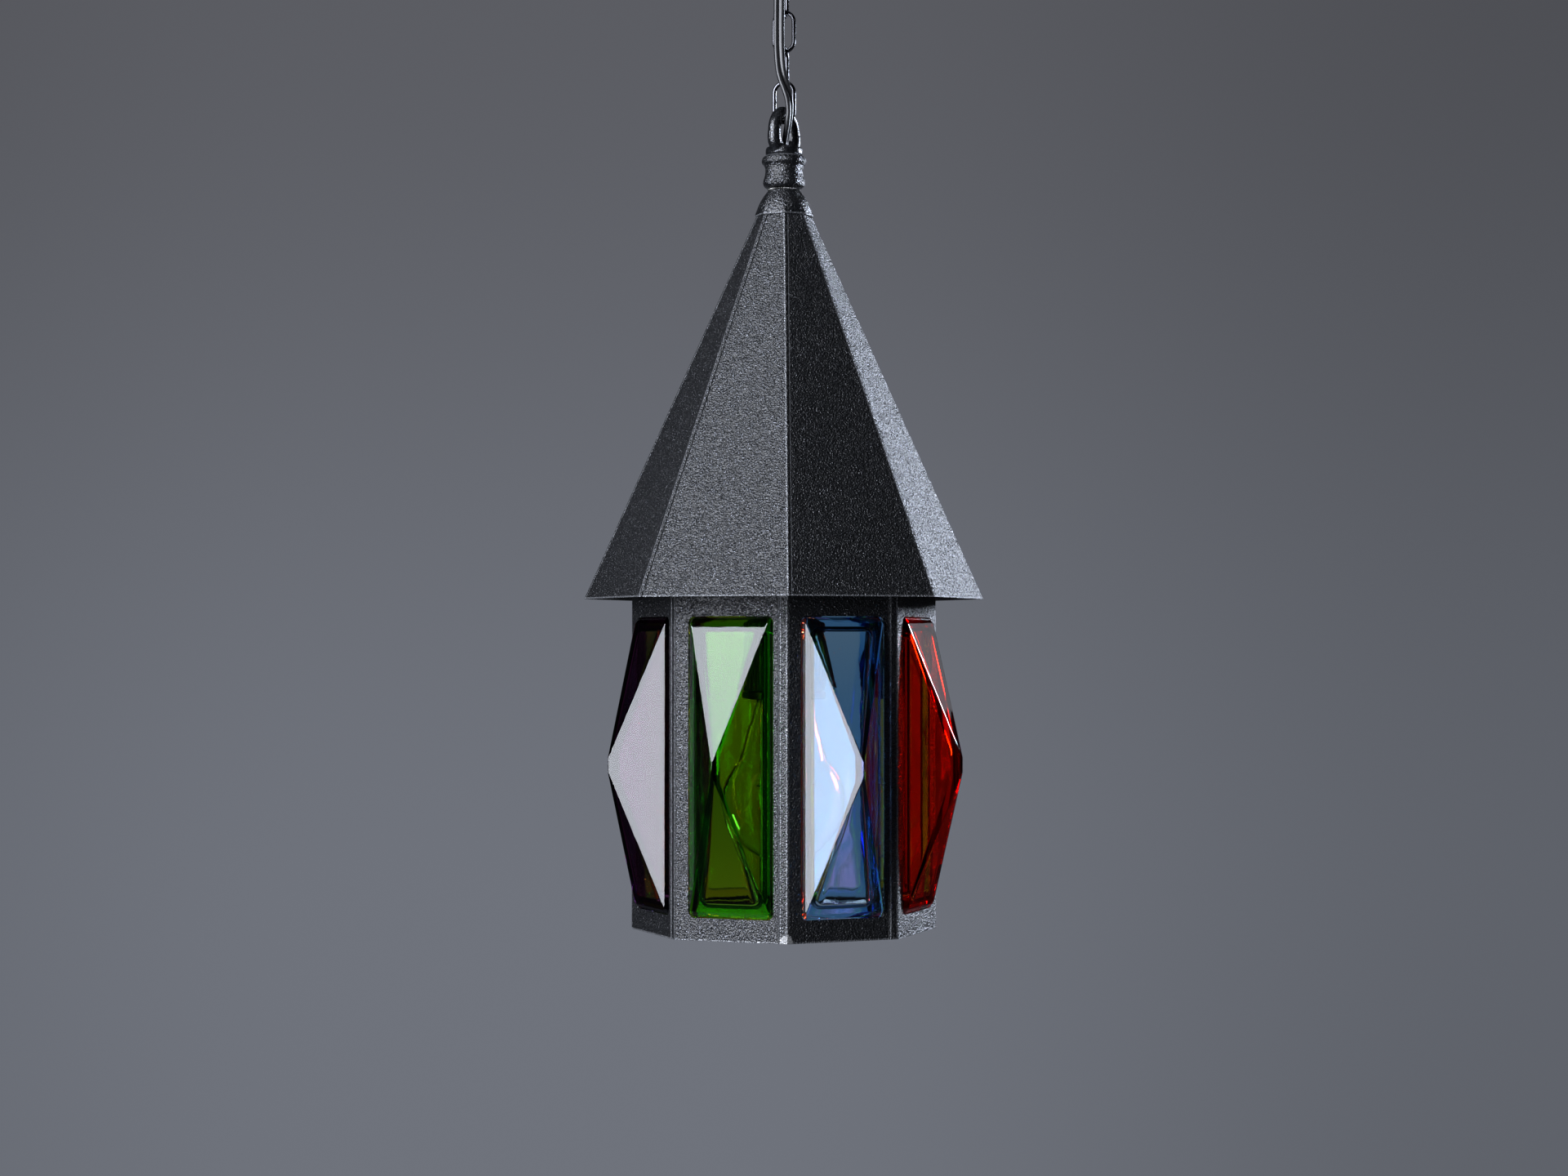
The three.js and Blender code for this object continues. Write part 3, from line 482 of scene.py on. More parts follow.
# For each finish its slot, the function that makes it and what that is told
FINISHES = {
    "hammered_lacquer": lacquer_finish(),
    "roof_lacquer": lacquer_finish(marks=roof_marks),
    "body_lacquer": lacquer_finish(marks=body_marks, depth=0.9),
    "cast_lacquer": lacquer_finish(depth=0.3, gloss=0.1),
    "cap_lacquer": lacquer_finish(marks=cap_marks, depth=0.8, gloss=0.08),
    "zinc": metal_finish("zinc_steel", "zinc", 0.34, 0.7, 0.0012, 0.00004),
    "tarnished_zinc": metal_finish("zinc_steel", "zinc", 0.3, 0.8, 0.0012, 0.00004, shade=0.45),
    "tungsten": metal_finish("zinc_steel", "tungsten", 0.35, 0.3, 0.0009, 0.00001),
    "chain_steel": metal_finish("chain_steel", "chain", 0.1, 0.6, 0.0007, 0.00002),
    "brass": metal_finish("brass", "brass", 0.26, 0.6, 0.0009, 0.00002),
    "black_plastic": moulded_finish("black_plastic", "plastic", 0.3, 0.0006, 0.00003),
    "porcelain": moulded_finish("porcelain", "porcelain", 0.12, 0.003, 0.00008),
    "flex_skin": ("flex_black", flex_skin, {}),
    "clear_glass": ("bulb_glass", clear_glass, {}),
    **{f"{name}_glass": (f"glass_{name}", pressed_glass, {"colour": name})
       for name in ("aubergine", "green", "blue", "red", "amber")},
}
materials = {}


def material_of(finish):
    """The material of a finish, made when it is first asked for."""
    if finish not in materials:
        maker, settings = FINISHES[finish][1:]
        materials[finish] = maker(finish, **settings)
    return materials[finish]


# Mesh work

def piece_from(bm, name, smooth_angle=0.6):
    """A new object from a bmesh, smooth but for edges sharper than the angle."""
    bmesh.ops.recalc_face_normals(bm, faces=bm.faces)
    for edge in bm.edges:
        edge.smooth = not (edge.is_manifold and edge.calc_face_angle(0) > smooth_angle)
    for face in bm.faces:
        face.smooth = True
    mesh = bpy.data.meshes.new(name)
    bm.to_mesh(mesh)
    bm.free()
    made = bpy.data.objects.new(name, mesh)
    bpy.context.scene.collection.objects.link(made)
    return made


def dress(made, body, finish, *nodes):
    """Gives a new piece its finish, and puts it on its body in place of the nodes it stands for."""
    made.data.materials.clear()
    made.data.materials.append(material_of(finish))
    if body is not None:
        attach(made, body)
    if nodes:
        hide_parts(*nodes)


def finish_node(node, finish, width, segments=2):
    """Gives a node that keeps its solid a finish and rounds its edges."""
    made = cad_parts[node]
    made.data.materials.clear()
    made.data.materials.append(material_of(finish))
    weld = made.modifiers.new("joined_corners", "WELD")
    weld.merge_threshold = 1e-5
    bevel = made.modifiers.new("round_edges", "BEVEL")
    bevel.width = width
    bevel.segments = segments
    bevel.limit_method = "ANGLE"
    bevel.angle_limit = math.radians(25)
    made.modifiers.new("even_faces", "WEIGHTED_NORMAL")


def skin(rings, cap_first=False, cap_last=False, looped=False):
    """A bmesh over rings of points with equal counts."""
    bm = bmesh.new()
    rows = [[bm.verts.new(point) for point in ring] for ring in rings]
    pairs = list(zip(rows, rows[1:]))
    if looped:
        pairs.append((rows[-1], rows[0]))
    for low, high in pairs:
        for i in range(len(low)):
            j = (i + 1) % len(low)
            bm.faces.new((low[i], low[j], high[j], high[i]))
    if cap_first:
        bm.faces.new(rows[0])
    if cap_last:
        bm.faces.new(rows[-1])
    return bm


def turned(outline, segments=64, wobble=None):
    """A bmesh turned round the Z axis from an outline of (radius, height). Its ends close on the axis
    or on each other. wobble changes a radius by (radius, height, angle)."""
    rings = []
    for radius, height in outline:
        ring = []
        for i in range(segments):
            angle = math.tau * i / segments
            reach = wobble(radius, height, angle) if wobble else radius
            ring.append(Vector((reach * math.cos(angle), reach * math.sin(angle), height)))
        rings.append(ring)
    open_ends = outline[0][0] < 1e-6 or outline[-1][0] < 1e-6
    bm = skin(rings, looped=not open_ends)
    bmesh.ops.remove_doubles(bm, verts=bm.verts, dist=1e-7)
    return bm


def rounded(outline, radius, steps=4, looped=True):
    """The outline with each corner replaced by an arc of about this radius."""
    count = len(outline)
    result = []
    for i, corner in enumerate(outline):
        if not looped and i in (0, count - 1):
            result.append(tuple(corner))
            continue
        here = Vector(corner)
        before = Vector(outline[i - 1])
        after = Vector(outline[(i + 1) % count])
        reach = min(radius, (before - here).length * 0.45, (after - here).length * 0.45)
        start = here + (before - here).normalized() * reach
        end = here + (after - here).normalized() * reach
        for step in range(steps + 1):
            share = step / steps
            result.append(tuple(start.lerp(here, share).lerp(here.lerp(end, share), share)))
    return result


def arc(middle, reach, start, end, steps):
    """Points on part of an ellipse, between two angles in degrees that start at the first axis."""
    angles = [math.radians(start + (end - start) * i / steps) for i in range(steps + 1)]
    return [
        (middle[0] + reach[0] * math.cos(angle), middle[1] + reach[1] * math.sin(angle))
        for angle in angles]


def heading(path, i):
    """The direction of an open path at its point number i."""
    return (path[min(i + 1, len(path) - 1)] - path[max(i - 1, 0)]).normalized()


def join_part(bm, part):
    """Moves the faces of a second bmesh into the first."""
    mesh = bpy.data.meshes.new("part")
    part.to_mesh(mesh)
    part.free()
    bm.from_mesh(mesh)
    bpy.data.meshes.remove(mesh)


def cut_away(made, tool):
    """Cuts a bmesh out of a piece."""
    cutter = piece_from(tool, "cutter")
    cut = made.modifiers.new("cut", "BOOLEAN")
    cut.object = cutter
    cut.operation = "DIFFERENCE"
    cut.solver = "EXACT"
    apply_modifiers(made)
    bpy.data.objects.remove(cutter)


def round_ring(middle, along, radius, sides, hint=Vector((0, 1, 0))):
    """A circle of points square to a direction."""
    over = (hint - along * hint.dot(along)).normalized()
    across = over.cross(along)
    ring = []
    for s in range(sides):
        angle = math.tau * (s + 0.5) / sides
        ring.append(middle + across * radius * math.cos(angle) + over * radius * math.sin(angle))
    return ring


def turn_about_axis(bm, angle, height=0.0):
    """Turns a bmesh about the lantern's axis and lifts it."""
    bm.transform(Matrix.Translation((0, 0, height)) @ Matrix.Rotation(angle, 4, "Z"))
    return bm


def turned_box(node, angle):
    """A node's lowest and highest corners, measured after it is turned back by the angle."""
    back = Matrix.Rotation(-angle, 3, "Z")
    points = [back @ vertex.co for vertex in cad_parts[node].data.vertices]
    low = Vector(min(point[i] for point in points) for i in range(3))
    high = Vector(max(point[i] for point in points) for i in range(3))
    return low, high


# Glass

def frame_ring(half_width, half_height, corner, out, middle, steps=7):
    """An upright rectangle with round corners, at a distance out from the lantern's axis."""
    ring = []
    for turn, (side, end) in enumerate(((1, 1), (-1, 1), (-1, -1), (1, -1))):
        for i in range(steps + 1):
            angle = (turn + i / steps) * math.pi / 2
            x = side * (half_width - corner) + corner * math.cos(angle)
            z = end * (half_height - corner) + corner * math.sin(angle)
            ring.append(Vector((x, -out, middle + z)))
    return ring


def glass_block(node, side):
    """A hollow pressed block: a flange, a low rim, and four facets that rise to a short ridge."""
    size = sizes()
    low, high = turned_box(node, facing(side))
    back, apex = -high.y, -low.y
    middle = (low.z + high.z) / 2
    flange_width = high.x
    flange_height = (high.z - low.z) / 2
    flange = 0.0021
    flange_depth = 0.003
    corner = 0.0029
    side_draft = 0.001
    end_draft = 0.0024
    shoulder_corner = 0.0013
    wall = 0.0054
    facet_depth = 0.0235
    rim_depth = 0.0019
    face = apex - facet_depth
    shoulder = face + rim_depth
    ridge = 0.0034
    hollow_ridge = 0.0065
    hollow_draft = 0.0004
    hollow_corner = 0.0046
    tip = 0.00035
    half_width = flange_width - flange
    half_height = flange_height - flange
    hollow_width = half_width - wall
    hollow_height = half_height - wall

    def ring(width, height, round_corner, out):
        return frame_ring(width, height, round_corner, out, middle)

    rings = [
        ring(3 * tip, hollow_ridge + 2 * tip, 2.9 * tip, apex - RIDGE_WALL - tip),
        ring(hollow_width - hollow_draft, hollow_height - hollow_draft, hollow_corner, face),
        ring(hollow_width, hollow_height, hollow_corner, back),
        ring(flange_width, flange_height, corner, back),
        ring(flange_width, flange_height, corner, back + flange_depth),
        ring(half_width, half_height, corner, back + flange_depth),
        ring(half_width, half_height, corner, face),
        ring(half_width - side_draft, half_height - end_draft, shoulder_corner, shoulder),
        ring(tip, ridge + tip, 0.9 * tip, apex - tip / 2),
    ]
    count = len(rings[0])
    bm = skin(rings, cap_first=True, cap_last=True)
    bm.verts.index_update()
    rows = [set(range(row * count, (row + 1) * count)) for row in range(len(rings))]

    def around(*chosen):
        return [edge for edge in bm.edges if edge.is_valid and any(
            {edge.verts[0].index, edge.verts[1].index} <= rows[row] for row in chosen)]

    inner = around(1)
    outer = around(2, 3, 4, 7)
    for edges, radius, segments in ((inner, size.hollow_round, 4), (outer, size.glass_round, 3)):
        bmesh.ops.bevel(
            bm, geom=[edge for edge in edges if edge.is_valid], offset=radius, segments=segments,
            profile=0.5, affect="EDGES", clamp_overlap=True)
    turn_about_axis(bm, facing(side))
    made = piece_from(bm, f"{node}_block")
    made.modifiers.new("even_faces", "WEIGHTED_NORMAL")
    return made


class LANTERN_OT_glass(bpy.types.Operator):
    """Makes the eight pressed glass blocks"""

    bl_idname = "lantern.glass"
    bl_label = "Glass blocks"

    def execute(self, context):
        for side, name in enumerate(COLOURS):
            node = f"glass_{name}"
            finish = name.replace("_rear", "") + "_glass"
            dress(glass_block(node, side), "lantern", finish, node)
        return {"FINISHED"}


# Sheet iron

class LANTERN_OT_sheets(bpy.types.Operator):
    """Finishes the roof sheets, the side panels and the crossbar"""

    bl_idname = "lantern.sheets"
    bl_label = "Sheet iron"

    def execute(self, context):
        width = sizes().sheet_round
        for number in range(1, SIDES + 1):
            finish_node(f"roof_panel_{number}", "roof_lacquer", width)
            finish_node(f"side_panel_{number}", "body_lacquer", width)
        finish_node("crossbar", "hammered_lacquer", width)
        return {"FINISHED"}


class LANTERN_OT_rivets(bpy.types.Operator):
    """Makes the two rivets that hold the crossbar"""

    bl_idname = "lantern.rivets"
    bl_label = "Rivets"

    def execute(self, context):
        for number, side in ((1, 0), (2, SIDES // 2)):
            node = f"crossbar_rivet_{number}"
            low, high = turned_box(node, facing(side))
            middle = (low.z + high.z) / 2
            head = (high.z - low.z) / 2
            shank = 0.0016
            dome = 0.0014
            length = high.y - low.y
            outline = [*arc((0, dome), (head, dome), -90, 0, 6), (shank, dome)]
            far = [(radius, length - height) for radius, height in reversed(outline)]
            bm = turned(outline + far, 32)
            level = Matrix.Rotation(-math.pi / 2, 4, "X")
            bm.transform(Matrix.Translation((0, low.y, middle)) @ level)
            turn_about_axis(bm, facing(side))
            dress(piece_from(bm, f"rivet_{number}"), "lantern", "hammered_lacquer", node)
        return {"FINISHED"}


# Stack on top of the roof

class LANTERN_OT_roof_cap(bpy.types.Operator):
    """Makes the eight-sided dome that covers the tops of the roof sheets"""

    bl_idname = "lantern.roof_cap"
    bl_label = "Roof cap"

    def execute(self, context):
        low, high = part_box("roof_cap")
        reach = high.y
        top = high.z - low.z
        wall = 0.001
        bore = 0.0056
        rim = 0.0004
        blend = 0.004
        draw_in = 0.44
        bulge = 0.045
        steps = 18

        def soften(radius, height, angle):
            """Eight flat sides at the foot, which turn round a little above it."""
            off_corner = (angle + SIDE_ANGLE / 2) % SIDE_ANGLE - SIDE_ANGLE / 2
            flat = math.cos(SIDE_ANGLE / 2) / math.cos(SIDE_ANGLE / 2 - abs(off_corner))
            crisp = max(0.0, min(1.0, (rim + blend - height + low.z) / blend))
            return radius * (1 + (flat - 1) * crisp)

        dome = [(reach, low.z)]
        for i in range(steps + 1):
            share = i / steps
            bow = bulge * math.sin(math.pi * share ** 1.3)
            radius = reach * (1 - draw_in * share ** 1.1 + bow)
            dome.append((min(radius, reach), low.z + rim + (top - rim) * share))
        inside = [(radius - 2 * wall, height - wall) for radius, height in reversed(dome[1:])]
        outline = [*dome, (bore, high.z), (bore, high.z - wall), *inside, (reach - 2 * wall, low.z)]
        made = piece_from(turned(outline, 128, soften), "roof_cap_dome")
        dress(made, "lantern", "cap_lacquer", "roof_cap")
        return {"FINISHED"}


class LANTERN_OT_collar(bpy.types.Operator):
    """Makes the spool-shaped collar and the serrated bead washer under it"""

    bl_idname = "lantern.collar"
    bl_label = "Collar and bead"

    def execute(self, context):
        low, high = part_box("collar")
        height = high.z - low.z
        bead = high.x
        bore = 0.0053
        bend = 0.002
        # Radius, and height as a share of the collar's
        spool = [(0.0088, 0), (0.0102, 0.06), (0.0107, 0.16), (0.0103, 0.27), (0.0096, 0.4)]
        spool += [(0.0094, 0.52), (0.0095, 0.62), (0.0099, 0.69), (bead - 0.0006, 0.735)]
        spool += [(bead, 0.79), (bead, 0.86), (0.0107, 0.94), (0.0097, 0.99), (0.0094, 1)]
        side = rounded([(radius, low.z + height * share) for radius, share in spool], bend, 5, False)
        made = piece_from(turned([(bore, low.z), *side, (bore, high.z)], 96), "collar_spool")
        dress(made, "lantern", "cap_lacquer", "collar")
        self.bead()
        return {"FINISHED"}

    def bead(self):
        low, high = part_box("bead_washer")
        teeth = sizes().bead_teeth
        reach = high.x
        bore = 0.0053
        rim = 0.0006
        notch = 0.00035

        def serrated(radius, height, angle):
            if radius < reach - rim:
                return radius
            return radius - notch * (0.5 - 0.5 * math.cos(teeth * angle))

        middle = (low.z + high.z) / 2
        half = (high.z - low.z) / 2
        side = arc((reach - half, middle), (half, half), -90, 90, 6)
        bm = turned([(bore, low.z), *side, (bore, high.z)], teeth * 6, serrated)
        dress(piece_from(bm, "serrated_bead"), "lantern", "tarnished_zinc", "bead_washer")


def cast_from(bm, name, voxel, rounds):
    """A casting: the joined shapes become one skin whose inner corners are filled and smoothed."""
    rough = piece_from(bm, name)
    remesh = rough.modifiers.new("one_skin", "REMESH")
    remesh.mode = "VOXEL"
    remesh.voxel_size = voxel
    smooth = rough.modifiers.new("cast_corners", "SMOOTH")
    smooth.factor = 0.5
    smooth.iterations = rounds
    return apply_modifiers(rough)


def apply_modifiers(made):
    """The same object with its modifiers made part of its mesh."""
    bpy.context.view_layer.update()
    evaluated = made.evaluated_get(bpy.context.evaluated_depsgraph_get())
    mesh = bpy.data.meshes.new_from_object(evaluated)
    made.modifiers.clear()
    made.data = mesh
    for polygon in mesh.polygons:
        polygon.use_smooth = True
    return made


class LANTERN_OT_hanging_loop(bpy.types.Operator):
    """Makes the cast loop that the lowest link holds"""

    bl_idname = "lantern.hanging_loop"
    bl_label = "Hanging loop"

    def execute(self, context):
        low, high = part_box("hanging_loop")
        wire = 0.0033
        hole = 0.0067
        hole_width = 0.006
        boss = 0.0093
        boss_height = 0.0032
        crown = 0.0015
        crown_width = 0.004
        edge = 0.0016
        edge_height = 0.0014
        edge_drop = 0.0004
        centre = high.z - wire - (hole + wire)
        bm = self.ring(wire, hole, hole_width, centre)
        top = low.z + boss_height
        corner = arc((boss - edge, top - edge_drop), (edge, edge_height), 0, 90, 6)
        outline = [(0, low.z), (boss, low.z), *corner, (crown_width, top + crown), (0, top + crown)]
        join_part(bm, turned(outline, 48))
        made = cast_from(bm, "cast_loop", voxel=0.00042, rounds=10)
        self.bore(made, low.z, top)
        made.data.transform(Matrix.Rotation(LOOP_TURN, 4, "Z"))
        dress(made, "lantern", "cast_lacquer", "hanging_loop")
        return {"FINISHED"}

    def ring(self, wire, hole, hole_width, centre):
        """The loop's ring, which is thicker and wider towards the boss."""
        steps = 56
        sides = 20
        wider = 0.32
        thicker = 0.12
        thinner = 0.04
        rings = []
        for i in range(steps):
            angle = math.tau * i / steps
            lower = max(0.0, -math.sin(angle))
            spread = 1 + wider * lower * abs(math.cos(angle))
            middle = Vector((
                (hole_width + wire) * math.cos(angle) * spread, 0,
                centre + (hole + wire) * math.sin(angle)))
            outwards = Vector((math.cos(angle), 0, math.sin(angle)))
            thick = wire * (1 + thicker * lower - thinner * max(0.0, math.sin(angle)))
            ring = []
            for s in range(sides):
                around = math.tau * s / sides
                over = Vector((0, math.sin(around), 0))
                ring.append(middle + (outwards * math.cos(around) + over) * thick)
            rings.append(ring)
        return skin(rings, looped=True)

    def bore(self, made, foot, top):
        """Cuts what is below the boss, and the hole for the tube and the flex."""
        hole = 0.0042
        tube = 0.0053
        wide = 0.02
        below = 0.012
        mouth = 0.0008
        neck = top + 0.004
        end = top + 0.006
        cut_away(made, turned([
            (0, foot - below), (wide, foot - below), (wide, foot), (tube, foot), (tube, top + GAP),
            (hole, top + GAP), (hole, neck), (hole + mouth, end), (0, end)], 48))


# Chain and flex

class LANTERN_OT_chain(bpy.types.Operator):
    """Makes the four welded links of the chain"""

    bl_idname = "lantern.chain"
    bl_label = "Chain"

    def execute(self, context):
        for number in range(1, LINKS + 1):
            node = f"chain_link_{number}"
            turn = LINK_TURN + math.pi / 2 * ((number - 1) % 2)
            low, high = turned_box(node, turn)
            bm = self.link(high.x, (high.z - low.z) / 2, number)
            turn_about_axis(bm, turn, (low.z + high.z) / 2)
            made = piece_from(bm, f"welded_link_{number}", 1.2)
            dress(made, f"link_{number}", "chain_steel", node)
        return {"FINISHED"}

    def link(self, half_width, half_length, number):
        """One link: two bent ends and two legs, one of them with its butt weld."""
        wire = sizes().link_wire / 2
        bow = half_width - wire
        leg = half_length - wire - bow
        weld_leg = -1 if number % 2 else 1
        stations = (0.12, 0.25, 0.33, 0.38, 0.42, 0.45, 0.48, 0.52, 0.56, 0.62, 0.75, 0.88)
        weld_place = -0.2 * leg
        weld_swell, weld_length = 0.07, 0.0011
        groove_depth, groove_length = 0.1, 0.00022
        path = []
        for side, end in ((1, 1), (-1, -1)):
            for across, up in arc((0, leg), (bow, bow), 0, 180, 25):
                path.append(Vector((side * across, 0, end * up)))
            for share in stations:
                path.append(Vector((-side * bow, 0, end * leg * (1 - 2 * share))))
        rings = []
        count = len(path)
        for i, middle in enumerate(path):
            along = (path[(i + 1) % count] - path[i - 1]).normalized()
            off = abs(middle.z - weld_place)
            swell = 0.0
            if middle.x * weld_leg > bow * 0.9:
                swell = weld_swell * math.exp(-(off / weld_length) ** 2)
                swell -= groove_depth * math.exp(-(off / groove_length) ** 2)
            rings.append(round_ring(middle, along, wire * (1 + swell), 20))
        return skin(rings, looped=True)


def flex_point(height):
    """The flex's middle and turn at a height in millimetres above the eave, on a smooth curve through
    its route."""
    route = FLEX_ROUTE
    above = next(i for i, point in enumerate(route) if point[2] >= height - 1e-9 and i > 0)
    points = [route[max(0, min(len(route) - 1, above + k))] for k in (-2, -1, 0, 1)]
    low, high = points[1], points[2]
    share = (height - low[2]) / (high[2] - low[2])

    def smooth(index):
        span = high[2] - low[2]
        into = (high[index] - points[0][index]) / max(high[2] - points[0][2], 1e-9) * span
        out = (points[3][index] - low[index]) / max(points[3][2] - low[2], 1e-9) * span
        s2 = share * share
        s3 = s2 * share
        return (
            (2 * s3 - 3 * s2 + 1) * low[index] + (s3 - 2 * s2 + share) * into
            + (3 * s2 - 2 * s3) * high[index] + (s3 - s2) * out)

    middle = Vector((smooth(0), smooth(1), height)) / 1000 + Vector((0, 0, EAVE))
    return middle, math.radians(smooth(3))


class LANTERN_OT_twin_flex(bpy.types.Operator):
    """Makes the twin flex, one length for each joint that it passes"""

    bl_idname = "lantern.twin_flex"
    bl_label = "Twin flex"

    def execute(self, context):
        slack = 0.15
        ends = [FLEX_ROUTE[0][2] + slack]
        for number in range(1, LINKS + 1):
            low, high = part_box(f"chain_link_{number}")
            ends.append(((low.z + high.z) / 2 - EAVE) * 1000)
        ends.append(FLEX_ROUTE[-1][2] - slack)
        names = (
            "flex_in_lantern", "flex_at_link_1", "flex_at_link_2", "flex_at_link_3", "flex_in_canopy")
        made = {}
        paths = {}
        for k, name in enumerate(names):
            path, piece = self.length(f"twin_{name}", ends[k], ends[k + 1])
            dress(piece, None, "flex_skin", name)
            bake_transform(piece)
            made[name] = piece
            paths[name] = path
        middle = [made[name] for name in names[1:4]]
        self.declare(made["flex_in_lantern"], paths["flex_in_lantern"], middle)
        self.declare(made["flex_in_canopy"], paths["flex_in_canopy"], [])
        return {"FINISHED"}

    def declare(self, piece, path, others):
        """Takes a length, its path and the lengths that go with it, and does nothing with them."""

    def length(self, name, low, high):
        """A stretch of flex between two heights above the eave, in millimetres."""
        fewest = 14
        spacing = 1.2
        steps = max(fewest, round((high - low) / spacing))
        heights = [low + (high - low) * i / steps for i in range(steps + 1)]
        spots = [flex_point(height) for height in heights]
        path = [middle for middle, turn in spots]
        rings = []
        for i, (middle, turn) in enumerate(spots):
            along = heading(path, i)
            wide = Vector((math.cos(turn), math.sin(turn), 0))
            wide = (wide - along * wide.dot(along)).normalized()
            thin = along.cross(wide)
            rings.append([middle + wide * a + thin * b for a, b in self.section()])
        bm = skin(rings, cap_first=True, cap_last=True)
        return path, piece_from(bm, name, 1.0)

    def section(self):
        """Two round cores joined by a narrow web, as (along the flat side, across it)."""
        size = sizes()
        radius = size.flex_core / 2
        web_angle = 148
        core = arc((size.flex_pitch / 2, 0), (radius, radius), -web_angle, web_angle, 12)
        return [(side * wide, side * thin) for side in (1, -1) for wide, thin in core]


# Ceiling fitting

class LANTERN_OT_ceiling_fitting(bpy.types.Operator):
    """Makes the ceiling cup with its collar, bush, hook, plate and terminal block"""

    bl_idname = "lantern.ceiling_fitting"
    bl_label = "Ceiling fitting"

    def execute(self, context):
        self.cup()
        self.hook()
        finish_node("canopy_collar", "zinc", 0.0004, 3)
        finish_node("cord_bush", "black_plastic", 0.0002)
        finish_node("ceiling_plate", "zinc", 0.0004, 3)
        finish_node("terminal_block", "porcelain", 0.0008, 3)
        return {"FINISHED"}

    def cup(self):
        low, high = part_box("canopy_cup")
        reach = high.x
        floor = 0.016
        rim = 0.0018
        wall = 0.0012
        hook_hole = 0.0026
        flex_hole = 0.0041
        depth = high.z - low.z

        def side(inset):
            curve = (reach - inset - floor, depth - rim - inset)
            return arc((floor, high.z - rim), curve, -90, 0, 20)

        edge_width, edge_height = 0.0004, 0.0003
        outline = [(hook_hole, low.z), *side(0)]
        outline += [(reach, high.z - edge_height), (reach - edge_width, high.z)]
        outline += [(reach - wall, high.z), *reversed(side(wall)), (hook_hole, low.z + wall)]
        made = piece_from(turned(outline, 128), "ceiling_cup")
        bush_low, bush_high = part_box("cord_bush")
        middle = (bush_low + bush_high) / 2
        under, over = low.z - 0.003, low.z + 0.004
        tool = turned([(0, under), (flex_hole, under), (flex_hole, over), (0, over)], 40)
        tool.transform(Matrix.Translation((middle.x, middle.y, 0)))
        cut_away(made, tool)
        dress(made, "ceiling", "hammered_lacquer", "canopy_cup")

    def hook(self):
        turn = LINK_TURN + math.pi / 2 * (LINKS % 2)
        low, high = turned_box("ceiling_hook", turn)
        wire = 0.002
        bow = 0.007
        neck = 0.004
        point = 0.0004
        point_share = 0.75
        centre = low.z + wire + bow
        bend = centre + bow + neck
        path = [Vector((0, 0, height)) for height in (high.z, bend + neck, bend)]
        for across, up in arc((0, centre), (bow, bow), 62, -210, 44):
            path.append(Vector((across, 0, up)))
        smooth = [path[0], path[1]]
        for before, here, after in zip(path[1:], path[2:], path[3:]):
            smooth.append((before + 2 * here + after) / 4)
        smooth.append(path[-1])
        rings = [round_ring(middle, heading(smooth, i), wire, 24) for i, middle in enumerate(smooth)]
        along = heading(smooth, len(smooth) - 1)
        rings.append(round_ring(smooth[-1] + along * point, along, wire * point_share, 24))
        bm = turn_about_axis(skin(rings, cap_first=True, cap_last=True), turn)
        dress(piece_from(bm, "bent_hook"), "ceiling", "zinc", "ceiling_hook")


# Tube, nuts and washer

def threaded(pitch, depth):
    """A wobble that cuts a round thread into the radius given by an outline."""
    def wobble(radius, height, angle):
        return radius - depth * (0.5 - 0.5 * math.cos(math.tau * height / pitch - angle))
    return wobble


class LANTERN_OT_tube(bpy.types.Operator):
    """Makes the threaded tube, and finishes its nuts and washer"""

    bl_idname = "lantern.tube"
    bl_label = "Tube and nuts"

    def execute(self, context):
        low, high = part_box("threaded_tube")
        pitch = sizes().tube_pitch
        reach = high.x
        bore = 0.0036
        count = round((high.z - low.z) / pitch * 4)
        outside = [(reach, low.z + (high.z - low.z) * i / count) for i in range(count + 1)]
        depth = 0.0005
        thread = threaded(pitch, depth)

        def wobble(radius, height, angle):
            return thread(radius, height, angle) if radius > bore + depth else radius

        bm = turned([(bore, low.z), *outside, (bore, high.z)], 28, wobble)
        dress(piece_from(bm, "tube_with_thread", 1.2), "lantern", "zinc", "threaded_tube")
        for node in ("roof_nut", "crossbar_upper_nut", "crossbar_lower_nut"):
            finish_node(node, "zinc", 0.0006, 3)
        finish_node("roof_washer", "zinc", 0.0003)
        return {"FINISHED"}


# Lampholder and bulb

